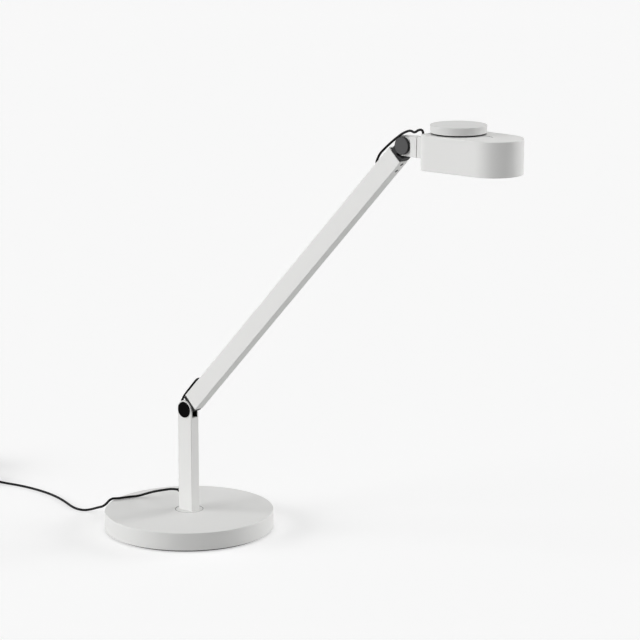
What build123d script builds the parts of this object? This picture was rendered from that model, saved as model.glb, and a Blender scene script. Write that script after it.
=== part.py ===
from build123d import *
from math import atan, cos, degrees, pi, radians, sin, sqrt, tan
import os

# An adjustable table lamp with a weighted round base, a square post, a long arm and a flat
# light head with a dimmer disc on it. Millimetres, +Z up. The origin is on the table, under
# the centre of the base. The arm leans towards +X, in the plane Y = 0.

# Base
BASE_RADIUS = 90.0
BASE_TOP = 21.0
COVER_BOTTOM = 2.0
COVER_WALL = 1.8
COVER_EDGE_RADIUS = 1.2
PLATE_BOTTOM = 3.4
PLATE_TOP = 5.0
WEIGHT_TOP = 18.8
INNER_RADIUS = 87.6
BASE_SCREW_CIRCLE = 60.0
BASE_SCREW_RADIUS = 2.0
BOSS_RADIUS = 4.5
BOSS_BOTTOM = 11.0
FOOT_RADIUS = 86.0

# Swivel in the middle of the base
SEAT_BOTTOM = 15.5
SEAT_TOP = 17.9
SEAT_RADIUS = 19.0
RECESS_RADIUS = 14.8
DISC_RADIUS = 14.5
DISC_BOTTOM = 18.35
SHAFT_RADIUS = 6.5
SHAFT_BOTTOM = 6.0
SPIGOT_RADIUS = 3.0
SPIGOT_TOP = 31.0
RUNNING_FIT = 0.05
STOP_CIRCLE = 13.5
STOP_ANGLE = 104.0
STOP_PIN_RADIUS = 1.5

# Post and arm share one rectangular tube section
TUBE_WIDTH = 20.0
TUBE_DEPTH = 11.5
POST_WALL = 2.0
ARM_WALL = 1.6
TUBE_EDGE_RADIUS = 0.7
POST_FOOT = 20.4
PIVOT_HEIGHT = 131.0
SLOT_BELOW_PIVOT = 8.0
CORD_HEIGHT = 39.0
ARM_LEAN = 44.0
ARM_LENGTH = 432.0
ARM_START = 13.2
ARM_END = 418.4

# Pivots
PIN_RADIUS = 3.0
BUSH_RADIUS = 4.5
CAP_RADIUS = 8.4
CAP_DEPTH = 0.9
CAP_PROUD = 1.1
HEAD_RADIUS = 6.5
HEAD_THICK = 0.5
TONGUE_RADIUS = 6.8
TONGUE_HALF = 3.15
CRADLE_RADIUS = 10.7
LOWER_CRADLE_RADIUS = 10.9
INSERT_HALF_HEIGHT = 9.2
FORK_HALF = 6.6
EAR_INNER = 3.5
EAR_RADIUS = 8.5
EAR_STEM = 11.5
EAR_STEM_LOW = -1.5
EAR_STEM_HIGH = 6.1
CRADLE_TIP = -8.1
CRADLE_BACK = 5.4
NECK_TONGUE_HALF = 3.1
NECK_HALF = 4.8
NECK_RADIUS = 10.0
NECK_STEP = 9.6
NECK_END = 317.0
COLLAR_START = 318.2
WASHER_THICK = 0.3

# Light head: straight sides taper into a big round front
HEAD_REAR = 340.5
HEAD_HALF_WIDTH = 31.5
HEAD_CORNER_RADIUS = 9.0
HEAD_FRONT_CENTRE = 406.5
HEAD_FRONT_RADIUS = 28.8
HEAD_BOTTOM = 425.5
HEAD_TOP = 459.0
HEAD_WALL = 2.0
BOARD_REAR = 352.0
BOARD_BOTTOM = 437.0
BOARD_THICK = 1.6
SINK_THICK = 3.0
KNOB_X = 365.0
KNOB_RADIUS = 27.0
KNOB_BOTTOM = 460.5
KNOB_TOP = 467.8
KNOB_RIM = 2.5
KNOB_HOLLOW = 4.4
HUB_BOTTOM = 461.8
HUB_RADIUS = 5.0
SPINDLE_RADIUS = 3.0
SPINDLE_BOTTOM = 451.2
SPINDLE_TOP = 465.2
DIMMER_BOARD_BOTTOM = 446.4
POT_BOTTOM = 448.0
POT_BUSH_BOTTOM = 456.6

# Leads and cord
LEAD_RADIUS = 1.0
CORD_RADIUS = 1.3
RELIEF_END = -15.5
RELIEF_TIP_RADIUS = 2.0

# The put-away coil of the cord, and its power adapter
COIL_CENTRE = (-310.0, -44.0)
COIL_MEAN_RADIUS = 15.6
COIL_TURN_PITCH = 3.6
COIL_LAYER_PITCH = 3.2
COIL_LAYERS = 4
SPIRAL_TURNS = 3.0
CLIMB_TURNS = 0.5
ADAPTER_FACE = -345.0
ADAPTER_LENGTH = 60.0
ADAPTER_WIDTH = 38.0
ADAPTER_HEIGHT = 27.0
SLEEVE_LENGTH = 11.0
SLEEVE_RADIUS = 3.2
SLEEVE_TIP_RADIUS = 1.9
PIN_LENGTH = 19.0
PIN_PITCH = 19.0

lean = radians(ARM_LEAN)
ALONG = Vector(sin(lean), 0, cos(lean))
BACK = Vector(-cos(lean), 0, sin(lean))
LOWER_PIVOT = Vector(0, 0, PIVOT_HEIGHT)
UPPER_PIVOT = LOWER_PIVOT + ALONG * ARM_LENGTH
NECK_HEIGHT = UPPER_PIVOT.Z
SLOT_BOTTOM = PIVOT_HEIGHT - SLOT_BELOW_PIVOT
POST_INNER_HALF = TUBE_DEPTH / 2 - POST_WALL

# On these planes local x runs along the piece, local y to its back, and local z towards -Y
SIDE = Plane.XZ
POST_SIDE = Plane(origin=LOWER_PIVOT, x_dir=(1, 0, 0), z_dir=(0, -1, 0))
ARM_SIDE = Plane(origin=LOWER_PIVOT, x_dir=ALONG, z_dir=(0, -1, 0))
FORK_SIDE = Plane(origin=UPPER_PIVOT, x_dir=ALONG, z_dir=(0, -1, 0))
NECK_SIDE = Plane(origin=UPPER_PIVOT, x_dir=(1, 0, 0), z_dir=(0, -1, 0))


def save(builder, name):
    """Label a finished piece and write it to its own file."""
    builder.part.label = name
    export_step(builder.part, f"parts/{name}.step")
    print(f"{name}: {len(builder.solids())} solids, {builder.part.volume:.1f} mm3")


def on_arm(along, back, side=0.0):
    """A point given along the arm from the lower pivot, to its back, and towards +Y."""
    return LOWER_PIVOT + ALONG * along + BACK * back + Vector(0, side, 0)


def ring(outer, inner, low, high, plane=Plane.XY):
    """A plain ring between two heights of a plane."""
    with BuildPart() as piece:
        with BuildSketch(plane.offset(low)):
            Circle(outer)
            Circle(inner, mode=Mode.SUBTRACT)
        extrude(amount=high - low)
    return piece


def two_rings(outer, inner, low, high, plane):
    """The same ring on both sides of a pivot."""
    with BuildPart() as pair:
        with BuildSketch(plane.offset(low)):
            Circle(outer)
            Circle(inner, mode=Mode.SUBTRACT)
        extrude(amount=high - low)
        mirror(about=Plane.XZ)
    return pair


def screws(places, direction, shank_radius, length, head_radius, head_height):
    """Countersunk screws with a cross recess, heads at the places, shanks along the direction."""
    with BuildPart() as group:
        for place in places:
            seat = Plane(origin=place, z_dir=direction)
            with BuildSketch(seat):
                Circle(head_radius)
            with BuildSketch(seat.offset(head_height)):
                Circle(shank_radius)
            loft()
            with BuildSketch(seat.offset(head_height)):
                Circle(shank_radius)
            extrude(amount=length - head_height)
            with BuildSketch(seat):
                Rectangle(head_radius * 1.1, head_radius * 0.28)
                Rectangle(head_radius * 0.28, head_radius * 1.1)
            extrude(amount=head_height * 0.6, mode=Mode.SUBTRACT)
    return group


def screw_holes(places, direction, shank_radius, depth, head_radius, head_height):
    """The countersunk holes for such screws, as a solid to cut away."""
    with BuildPart() as holes:
        for place in places:
            seat = Plane(origin=place, z_dir=direction)
            with BuildSketch(seat.offset(-0.01)):
                Circle(head_radius)
            with BuildSketch(seat.offset(head_height)):
                Circle(shank_radius)
            loft()
            with BuildSketch(seat):
                Circle(shank_radius)
            extrude(amount=depth)
    return holes.part


def corner_radii(points):
    """The largest arc at each corner that leaves a tenth of the shorter run straight."""
    radii = []
    for before, here, after in zip(points, points[1:], points[2:]):
        arriving = here - before
        leaving = after - here
        turn = radians(arriving.get_angle(leaving))
        radii.append(0.45 * min(arriving.length, leaving.length) / tan(turn / 2))
    return radii


def tube_along(name, points, radius):
    """A round tube on straight runs joined by arcs as large as the runs allow."""
    points = [Vector(*point) for point in points]
    radii = corner_radii(points)
    with BuildPart() as tube:
        with BuildLine() as route:
            FilletPolyline(*points, radius=radii)
        wire = route.wires()[0]
        with BuildSketch(Plane(origin=wire @ 0, z_dir=wire % 0)):
            Circle(radius)
        sweep(path=wire)
    length = wire.length
    expected = pi * radius**2 * length
    print(f"{name}: radii {[round(r, 1) for r in radii]}, least {min(radii):.1f} mm")
    print(f"{name}: {length:.1f} mm long, volume {tube.part.volume:.1f} of {expected:.1f} mm3")
    return tube


# ---------------------------------------------------------------- base


def base_screw_places():
    """The centres of the three base screws, on the underside of the bottom plate."""
    return [
        (BASE_SCREW_CIRCLE * cos(angle), BASE_SCREW_CIRCLE * sin(angle), PLATE_BOTTOM)
        for angle in (radians(90), radians(210), radians(330))
    ]


def make_base_cover():
    """Round cover with a recess for the swivel disc and three screw bosses inside."""
    with BuildPart() as base_cover:
        with BuildSketch(SIDE):
            with BuildLine():
                Polyline(
                    (RECESS_RADIUS, BASE_TOP),
                    (BASE_RADIUS, BASE_TOP),
                    (BASE_RADIUS, COVER_BOTTOM),
                    (BASE_RADIUS - COVER_WALL, COVER_BOTTOM),
                    (BASE_RADIUS - COVER_WALL, BASE_TOP - COVER_WALL),
                    (SEAT_RADIUS, BASE_TOP - COVER_WALL),
                    (SEAT_RADIUS, SEAT_BOTTOM),
                    (8.05, SEAT_BOTTOM),
                    (8.05, SEAT_TOP),
                    (RECESS_RADIUS, SEAT_TOP),
                    close=True,
                )
            make_face()
        revolve(axis=Axis.Z)
        rims = base_cover.edges().filter_by(GeomType.CIRCLE).sort_by(SortBy.RADIUS)
        fillet(rims.filter_by(lambda e: e.radius > BASE_RADIUS - 0.1), COVER_EDGE_RADIUS * 0.7)
        for x, y, _ in base_screw_places():
            with BuildSketch(Plane.XY.offset(BOSS_BOTTOM)):
                with Locations((x, y)):
                    Circle(BOSS_RADIUS)
            extrude(amount=BASE_TOP - COVER_WALL - BOSS_BOTTOM)
            with BuildSketch(Plane.XY.offset(BOSS_BOTTOM)):
                with Locations((x, y)):
                    Circle(BASE_SCREW_RADIUS + RUNNING_FIT)
            extrude(amount=7.0, mode=Mode.SUBTRACT)
        for x, y in stop_pin_places():
            with BuildSketch(Plane.XY.offset(SEAT_BOTTOM)):
                with Locations((x, y)):
                    Circle(STOP_PIN_RADIUS)
            extrude(amount=1.6, mode=Mode.SUBTRACT)
    return base_cover


def stop_pin_places():
    """The swivel's two stop pins, each side of the tab that points to -X at rest."""
    return [
        (-STOP_CIRCLE * cos(radians(angle)), STOP_CIRCLE * sin(radians(angle)))
        for angle in (STOP_ANGLE, -STOP_ANGLE)
    ]


def make_base_weight():
    """Cast disc that keeps the lamp upright, with clearance for the bosses and screws."""
    with BuildPart() as base_weight:
        with BuildSketch(Plane.XY.offset(PLATE_TOP)):
            Circle(INNER_RADIUS)
            Circle(SEAT_RADIUS + 1, mode=Mode.SUBTRACT)
            with Locations(*[(x, y) for x, y, _ in base_screw_places()]):
                Circle(BASE_SCREW_RADIUS + 0.3, mode=Mode.SUBTRACT)
        extrude(amount=WEIGHT_TOP - PLATE_TOP)
        with BuildSketch(Plane.XY.offset(BOSS_BOTTOM - 0.4)):
            with Locations(*[(x, y) for x, y, _ in base_screw_places()]):
                Circle(BOSS_RADIUS + 0.4)
        extrude(amount=WEIGHT_TOP, mode=Mode.SUBTRACT)
        top_rim = base_weight.edges().filter_by(GeomType.CIRCLE).group_by(Axis.Z)[-1]
        chamfer(top_rim.sort_by(SortBy.RADIUS)[-1], 1.0)
    return base_weight


def make_base_plate():
    """Steel plate that closes the base from below, open in the middle for the swivel nut."""
    holes = screw_holes(base_screw_places(), (0, 0, 1), BASE_SCREW_RADIUS + 0.3, 3.0, 3.9, 1.4)
    with BuildPart() as base_plate:
        with BuildSketch(Plane.XY.offset(PLATE_BOTTOM)):
            Circle(INNER_RADIUS)
            Circle(13.0, mode=Mode.SUBTRACT)
        extrude(amount=PLATE_TOP - PLATE_BOTTOM)
        add(holes, mode=Mode.SUBTRACT)
    return base_plate


def make_foot_pad():
    """Thick soft disc that covers the whole underside of the base."""
    with BuildPart() as foot_pad:
        with BuildSketch(Plane.XY):
            Circle(FOOT_RADIUS)
        extrude(amount=PLATE_BOTTOM)
        chamfer(foot_pad.edges().group_by(Axis.Z)[0], 0.5)
    return foot_pad


def make_swivel_bush():
    """Flanged low-friction bush between the swivel disc and the cover's seat."""
    with BuildPart() as swivel_bush:
        with BuildSketch(SIDE):
            with BuildLine():
                Polyline(
                    (SHAFT_RADIUS + RUNNING_FIT, SEAT_BOTTOM),
                    (8.0, SEAT_BOTTOM),
                    (8.0, SEAT_TOP),
                    (14.8, SEAT_TOP),
                    (14.8, SEAT_TOP + 0.4),
                    (SHAFT_RADIUS + RUNNING_FIT, SEAT_TOP + 0.4),
                    close=True,
                )
            make_face()
        revolve(axis=Axis.Z)
    return swivel_bush


def make_swivel_stop_pins():
    """Two dowels under the seat that stop the swivel washer's tab."""
    with BuildPart() as pins:
        with BuildSketch(Plane.XY.offset(11.6)):
            with Locations(*stop_pin_places()):
                Circle(STOP_PIN_RADIUS)
        extrude(amount=SEAT_BOTTOM + 1.5 - 11.6)
    return pins


def make_base():
    """Everything that stays still on the table."""
    save(make_base_cover(), "base_cover")
    save(make_base_weight(), "base_weight")
    save(make_base_plate(), "base_plate")
    base_screws = screws(base_screw_places(), (0, 0, 1), BASE_SCREW_RADIUS, 13.0, 3.7, 1.3)
    save(base_screws, "base_screws")
    save(make_foot_pad(), "foot_pad")
    save(make_swivel_bush(), "swivel_bush")
    save(make_swivel_stop_pins(), "swivel_stop_pins")


# ---------------------------------------------------------------- post


def make_swivel_disc():
    """Round foot of the post, with a shallow pocket that keys the tube."""
    with BuildPart() as swivel_disc:
        with BuildSketch(Plane.XY.offset(DISC_BOTTOM)):
            Circle(DISC_RADIUS)
            Circle(SHAFT_RADIUS, mode=Mode.SUBTRACT)
        extrude(amount=BASE_TOP - DISC_BOTTOM)
        chamfer(swivel_disc.edges().group_by(Axis.Z)[-1].sort_by(SortBy.RADIUS)[-1], 0.3)
        with BuildSketch(Plane.XY.offset(POST_FOOT)):
            RectangleRounded(TUBE_WIDTH + 0.1, TUBE_DEPTH + 0.1, TUBE_EDGE_RADIUS)
        extrude(amount=BASE_TOP, mode=Mode.SUBTRACT)
    return swivel_disc


def make_swivel_shaft():
    """Stepped shaft: it turns in the bush and its spigot holds the post's foot insert."""
    with BuildPart() as swivel_shaft:
        with BuildSketch(Plane.XY.offset(SHAFT_BOTTOM)):
            Circle(SHAFT_RADIUS)
        extrude(amount=POST_FOOT - SHAFT_BOTTOM)
        chamfer(swivel_shaft.edges().group_by(Axis.Z)[0], 0.8)
        with BuildSketch(Plane.XY.offset(POST_FOOT)):
            Circle(SPIGOT_RADIUS)
        extrude(amount=SPIGOT_TOP - POST_FOOT)
        chamfer(swivel_shaft.edges().group_by(Axis.Z)[-1], 0.5)
    return swivel_shaft


def make_swivel_nut():
    """Hexagonal nut that holds the swivel together."""
    with BuildPart() as swivel_nut:
        with BuildSketch(Plane.XY.offset(8.2)):
            RegularPolygon(10.5, 6)
            Circle(SHAFT_RADIUS, mode=Mode.SUBTRACT)
        extrude(amount=5.0)
    return swivel_nut


def make_swivel_stop_washer():
    """Washer keyed to the shaft, with a tab that meets the stop pins at the swivel's limits."""
    with BuildPart() as washer:
        with BuildSketch(Plane.XY.offset(13.2)):
            Circle(10.5)
            with Locations((-12.0, 0)):
                Rectangle(6.0, 3.4)
            Circle(SHAFT_RADIUS, mode=Mode.SUBTRACT)
        extrude(amount=1.0)
    return washer


def make_post_tube():
    """Upright tube: a slot at the top leaves two round ears for the arm's pivot."""
    with BuildPart() as post_tube:
        with BuildSketch(Plane.XY.offset(POST_FOOT)):
            RectangleRounded(TUBE_WIDTH, TUBE_DEPTH, TUBE_EDGE_RADIUS)
        extrude(amount=PIVOT_HEIGHT + TUBE_WIDTH / 2 - POST_FOOT)
        with BuildSketch(POST_SIDE):
            with Locations((0, 20)):
                Rectangle(TUBE_WIDTH + 4, 40)
            Circle(TUBE_WIDTH / 2, mode=Mode.SUBTRACT)
        extrude(amount=TUBE_DEPTH, both=True, mode=Mode.SUBTRACT)
        with BuildSketch(Plane.XY.offset(POST_FOOT)):
            Rectangle(TUBE_WIDTH - 2 * POST_WALL, 2 * POST_INNER_HALF)
        extrude(amount=SLOT_BOTTOM - POST_FOOT, mode=Mode.SUBTRACT)
        with BuildSketch(Plane.XY.offset(SLOT_BOTTOM)):
            Rectangle(TUBE_WIDTH + 4, 2 * POST_INNER_HALF)
        extrude(amount=40, mode=Mode.SUBTRACT)
        with BuildSketch(POST_SIDE):
            Circle(PIN_RADIUS)
        extrude(amount=TUBE_DEPTH, both=True, mode=Mode.SUBTRACT)
        for side in (1, -1):
            with BuildSketch(POST_SIDE.offset(side * (TUBE_DEPTH / 2 - CAP_DEPTH))):
                Circle(CAP_RADIUS + 0.1)
            extrude(amount=side * 2, mode=Mode.SUBTRACT)
        with BuildSketch(Plane.YZ.offset(-TUBE_WIDTH)):
            with Locations((0, CORD_HEIGHT)):
                Circle(2.4)
        extrude(amount=TUBE_WIDTH - 5, mode=Mode.SUBTRACT)
    return post_tube


def make_post_foot_insert():
    """Block inside the foot of the post that the shaft's spigot screws into."""
    with BuildPart() as insert:
        with BuildSketch(Plane.XY.offset(POST_FOOT)):
            Rectangle(TUBE_WIDTH - 2 * POST_WALL - 0.1, 2 * POST_INNER_HALF - 0.1)
            Circle(SPIGOT_RADIUS, mode=Mode.SUBTRACT)
        extrude(amount=13.0)
    return insert


def make_cord_relief():
    """Short tapered sleeve where the cord leaves the back of the post."""
    axis = Plane(origin=(0, 0, CORD_HEIGHT), x_dir=(-1, 0, 0), z_dir=(0, -1, 0))
    with BuildPart() as cord_relief:
        with BuildSketch(axis):
            with BuildLine():
                Polyline(
                    (6.6, 0),
                    (6.6, 3.0),
                    (7.9, 3.0),
                    (7.9, 2.3),
                    (10.1, 2.3),
                    (10.1, 3.0),
                    (11.2, 3.0),
                    (-RELIEF_END, RELIEF_TIP_RADIUS),
                    (-RELIEF_END, 0),
                    close=True,
                )
            make_face()
        revolve(axis=Axis(origin=(0, 0, CORD_HEIGHT), direction=(-1, 0, 0)))
    return cord_relief


def make_lower_pivot_sleeve():
    """Hollow pin through both ears, with a thin flat head on the near side."""
    reach = TUBE_DEPTH / 2 - CAP_DEPTH
    with BuildPart() as sleeve:
        with BuildSketch(POST_SIDE.offset(-reach)):
            Circle(PIN_RADIUS)
        extrude(amount=2 * reach)
        with BuildSketch(POST_SIDE.offset(reach)):
            Circle(HEAD_RADIUS)
        extrude(amount=HEAD_THICK)
        with BuildSketch(POST_SIDE.offset(-reach)):
            Circle(1.5)
        extrude(amount=2 * reach - 1.5, mode=Mode.SUBTRACT)
    return sleeve


def make_lower_pivot_screw():
    """Flat-headed screw that clamps the sleeve from the far side."""
    reach = TUBE_DEPTH / 2 - CAP_DEPTH
    with BuildPart() as screw:
        with BuildSketch(POST_SIDE.offset(-reach)):
            Circle(1.5)
        extrude(amount=7.0)
        with BuildSketch(POST_SIDE.offset(-reach)):
            Circle(HEAD_RADIUS)
        extrude(amount=-HEAD_THICK)
        with BuildSketch(POST_SIDE.offset(-reach - HEAD_THICK)):
            RegularPolygon(1.4, 6)
        extrude(amount=1.2, mode=Mode.SUBTRACT)
    return screw


def make_lower_pivot_caps():
    """Round caps that hide the pivot's heads, one on each side of the post."""
    floor = TUBE_DEPTH / 2 - CAP_DEPTH
    face = TUBE_DEPTH / 2 + CAP_PROUD
    with BuildPart() as caps:
        with BuildSketch(POST_SIDE.offset(floor)):
            Circle(CAP_RADIUS)
        extrude(amount=face - floor)
        fillet(caps.edges().group_by(Axis.Y)[0], 0.25)
        with BuildSketch(POST_SIDE.offset(floor)):
            Circle(HEAD_RADIUS + 0.1)
        extrude(amount=HEAD_THICK + 0.05, mode=Mode.SUBTRACT)
        mirror(about=Plane.XZ)
    return caps


def post_wire_points():
    """The lead inside the post, from the cord's entry up to the slot."""
    return [
        (-6.6, 0, CORD_HEIGHT),
        (-1.0, 0, CORD_HEIGHT),
        (1.5, 0, 50.0),
        (-0.5, 0, 80.0),
        (-4.6, 0, 112.5),
        (-6.0, 0, 120.0),
    ]


def make_post():
    """The swivelling post, with the hardware of the swivel and of the arm's pivot."""
    save(make_swivel_disc(), "swivel_disc")
    save(make_swivel_shaft(), "swivel_shaft")
    save(ring(9.5, SHAFT_RADIUS, 14.3, 15.4), "swivel_spring_washer")
    save(make_swivel_stop_washer(), "swivel_stop_washer")
    save(make_swivel_nut(), "swivel_nut")
    save(make_post_tube(), "post_tube")
    save(make_post_foot_insert(), "post_foot_insert")
    save(make_cord_relief(), "cord_relief")
    save(make_lower_pivot_sleeve(), "lower_pivot_sleeve")
    save(make_lower_pivot_screw(), "lower_pivot_screw")
    save(make_lower_pivot_caps(), "lower_pivot_caps")
    washers = two_rings(6.7, PIN_RADIUS + 0.1, TONGUE_HALF + 0.05, POST_INNER_HALF - 0.05, POST_SIDE)
    save(washers, "lower_friction_washers")
    save(tube_along("post_wire", post_wire_points(), LEAD_RADIUS), "post_wire")


# ---------------------------------------------------------------- arm

LOWER_HOLE = 38.0
UPPER_HOLE = 389.6
HOLE_RADIUS = 1.8
UPPER_SCREWS = (ARM_END - 13.3, ARM_END - 3.6)
LOWER_SCREWS = (ARM_START + 5.0, ARM_START + 14.0)
SCREW_SHANK = 1.2
SCREW_HEAD = 1.9
SCREW_SINK = 0.9


def upper_screw_places():
    """The fork's screws, on the underside of the arm."""
    return [on_arm(along, -TUBE_WIDTH / 2) for along in UPPER_SCREWS]


def lower_screw_places():
    """The lower insert's screws, on the back of the arm."""
    return [on_arm(along, TUBE_WIDTH / 2) for along in LOWER_SCREWS]


def make_arm_tube():
    """The long rectangular tube, cut square, with two lead holes in its back."""
    start = Plane(origin=on_arm(ARM_START, 0), x_dir=BACK, z_dir=ALONG)
    length = ARM_END - ARM_START
    shank, head = SCREW_SHANK + 0.1, SCREW_HEAD + 0.1
    upper_holes = screw_holes(upper_screw_places(), BACK, shank, 3, head, SCREW_SINK)
    lower_holes = screw_holes(lower_screw_places(), -BACK, shank, 3, head, SCREW_SINK)
    with BuildPart() as arm_tube:
        with BuildSketch(start):
            RectangleRounded(TUBE_WIDTH, TUBE_DEPTH, TUBE_EDGE_RADIUS)
            Rectangle(TUBE_WIDTH - 2 * ARM_WALL, TUBE_DEPTH - 2 * ARM_WALL, mode=Mode.SUBTRACT)
        extrude(amount=length)
        for along in (LOWER_HOLE, UPPER_HOLE):
            with BuildSketch(Plane(origin=on_arm(along, TUBE_WIDTH / 4), z_dir=BACK)):
                Circle(HOLE_RADIUS)
            extrude(amount=TUBE_WIDTH, mode=Mode.SUBTRACT)
        add(upper_holes, mode=Mode.SUBTRACT)
        add(lower_holes, mode=Mode.SUBTRACT)
    return arm_tube


def make_lower_insert():
    """Plug in the arm's lower end, with a cradle round the post's ears and a tongue between them."""
    plug_end = ARM_START + 19.0
    with BuildPart() as lower_insert:
        with BuildSketch(ARM_SIDE):
            with Locations(((ARM_START + plug_end) / 2, 0)):
                Rectangle(plug_end - ARM_START, TUBE_WIDTH - 2 * ARM_WALL - 0.1)
        extrude(amount=TUBE_DEPTH / 2 - ARM_WALL - 0.05, both=True)
        with BuildSketch(ARM_SIDE):
            with Locations(((8.8 + ARM_START) / 2, 0)):
                Rectangle(ARM_START - 8.8, 2 * INSERT_HALF_HEIGHT)
            Circle(LOWER_CRADLE_RADIUS, mode=Mode.SUBTRACT)
        extrude(amount=TUBE_DEPTH / 2 - 0.5, both=True)
        with BuildSketch(ARM_SIDE):
            Circle(TONGUE_RADIUS)
            with Locations((ARM_START / 2, 0)):
                Rectangle(ARM_START, 2 * TONGUE_RADIUS)
        extrude(amount=TONGUE_HALF, both=True)
        with BuildSketch(ARM_SIDE):
            Circle(BUSH_RADIUS)
        extrude(amount=TUBE_DEPTH, both=True, mode=Mode.SUBTRACT)
        for along in LOWER_SCREWS:
            with BuildSketch(Plane(origin=on_arm(along, 0), z_dir=BACK)):
                Circle(SCREW_SHANK)
            extrude(amount=TUBE_WIDTH, mode=Mode.SUBTRACT)
    return lower_insert


def make_upper_fork():
    """Plug in the arm's upper end, with a cradle for the neck and an ear on each side of it."""
    plug_start = UPPER_SCREWS[0] - 8.0 - ARM_LENGTH
    shoulder = ARM_END - ARM_LENGTH
    groove = 0.8
    with BuildPart() as upper_fork:
        with BuildSketch(FORK_SIDE):
            with Locations(((plug_start + shoulder + groove) / 2, 0)):
                Rectangle(shoulder + groove - plug_start, TUBE_WIDTH - 2 * ARM_WALL - 0.1)
        extrude(amount=TUBE_DEPTH / 2 - ARM_WALL - 0.05, both=True)
        with BuildSketch(FORK_SIDE):
            with BuildLine():
                Polyline(
                    (shoulder + groove, -INSERT_HALF_HEIGHT),
                    (CRADLE_TIP, -INSERT_HALF_HEIGHT),
                    (CRADLE_TIP, CRADLE_BACK),
                    (shoulder + groove, CRADLE_BACK),
                    close=True,
                )
            make_face()
            Circle(CRADLE_RADIUS, mode=Mode.SUBTRACT)
        extrude(amount=FORK_HALF, both=True)
        for side in (1, -1):
            with BuildSketch(FORK_SIDE.offset(side * EAR_INNER)):
                Circle(EAR_RADIUS)
                with Locations((-EAR_STEM / 2, (EAR_STEM_LOW + EAR_STEM_HIGH) / 2)):
                    Rectangle(EAR_STEM, EAR_STEM_HIGH - EAR_STEM_LOW)
            extrude(amount=side * (FORK_HALF - EAR_INNER))
        outline = upper_fork.faces().filter_by(Axis.Y).group_by(Axis.Y)
        fillet(outline[0].edges() + outline[-1].edges(), 0.35)
        with BuildSketch(FORK_SIDE.offset(-FORK_HALF)):
            Circle(PIN_RADIUS)
        extrude(amount=2 * FORK_HALF - 1.6, mode=Mode.SUBTRACT)
        with BuildSketch(FORK_SIDE.offset(-FORK_HALF)):
            Circle(4.6)
        extrude(amount=1.4, mode=Mode.SUBTRACT)
        for along in UPPER_SCREWS:
            with BuildSketch(Plane(origin=on_arm(along, 0), z_dir=-BACK)):
                Circle(SCREW_SHANK)
            extrude(amount=TUBE_WIDTH, mode=Mode.SUBTRACT)
    return upper_fork


def make_upper_pivot_screw():
    """Pivot screw of the neck, put in from the far side, with a flat socket head."""
    with BuildPart() as screw:
        with BuildSketch(FORK_SIDE.offset(-FORK_HALF)):
            Circle(4.5)
        extrude(amount=1.3)
        with BuildSketch(FORK_SIDE.offset(-FORK_HALF)):
            Circle(PIN_RADIUS)
        extrude(amount=2 * FORK_HALF - 1.8)
        with BuildSketch(FORK_SIDE.offset(-FORK_HALF)):
            RegularPolygon(1.9, 6)
        extrude(amount=1.0, mode=Mode.SUBTRACT)
    return screw


def make_arm_grommets():
    """Rubber sleeves that line the two lead holes."""
    with BuildPart() as grommets:
        for along in (LOWER_HOLE, UPPER_HOLE):
            wall = Plane(origin=on_arm(along, TUBE_WIDTH / 2 - ARM_WALL), z_dir=BACK)
            with BuildSketch(wall):
                Circle(HOLE_RADIUS - 0.05)
            extrude(amount=ARM_WALL)
            with BuildSketch(wall.offset(ARM_WALL)):
                Circle(2.7)
            extrude(amount=0.6)
            with BuildSketch(wall):
                Circle(LEAD_RADIUS + 0.1)
            extrude(amount=ARM_WALL + 0.6, mode=Mode.SUBTRACT)
    return grommets


WIRE_ENTRY = TUBE_WIDTH / 2 - ARM_WALL


def arm_wire_points():
    """The lead inside the arm, from one hole to the other."""
    return [
        on_arm(LOWER_HOLE, WIRE_ENTRY),
        on_arm(LOWER_HOLE, 4.5),
        on_arm(LOWER_HOLE + 9, 1.5),
        on_arm((LOWER_HOLE + UPPER_HOLE) / 2, -1.0),
        on_arm(UPPER_HOLE - 9, 1.5),
        on_arm(UPPER_HOLE, 4.5),
        on_arm(UPPER_HOLE, WIRE_ENTRY),
    ]


def lower_lead_points():
    """The lead across the lower pivot: out of the arm's back, along it, and down into the slot."""
    return [
        on_arm(LOWER_HOLE, WIRE_ENTRY),
        on_arm(LOWER_HOLE, 12.8),
        on_arm(31.5, 13.2),
        on_arm(22, 12.4),
        on_arm(12, 12.3),
        (-5.8, 0, 141.6),
        (-8.9, 0, 134.5),
        (-7.4, 0, 127.5),
        (-6.0, 0, 120.0),
    ]


def upper_lead_points():
    """The lead across the upper pivot: an arc over the joint, then a small hump into the head."""
    return [
        on_arm(UPPER_HOLE, WIRE_ENTRY),
        on_arm(UPPER_HOLE, 13.4),
        on_arm(UPPER_HOLE + 4.6, 16.4),
        (268.2, -0.1, 430.8),
        (273.6, -0.4, 435.4),
        (279.6, -1.2, 440.2),
        (286.6, -2.6, 445.0),
        (294.2, -4.8, 449.8),
        (302.2, -7.6, 453.8),
        (310.4, -11.2, 456.6),
        (319.0, -15.2, 457.8),
        (326.8, -18.4, 458.2),
        (331.4, -19.4, 462.0),
        (336.2, -20.0, 461.6),
        (336.4, -20.0, 456.0),
        (337.2, -20.0, 453.2),
        (340.5, -20.0, 453.2),
    ]


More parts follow.
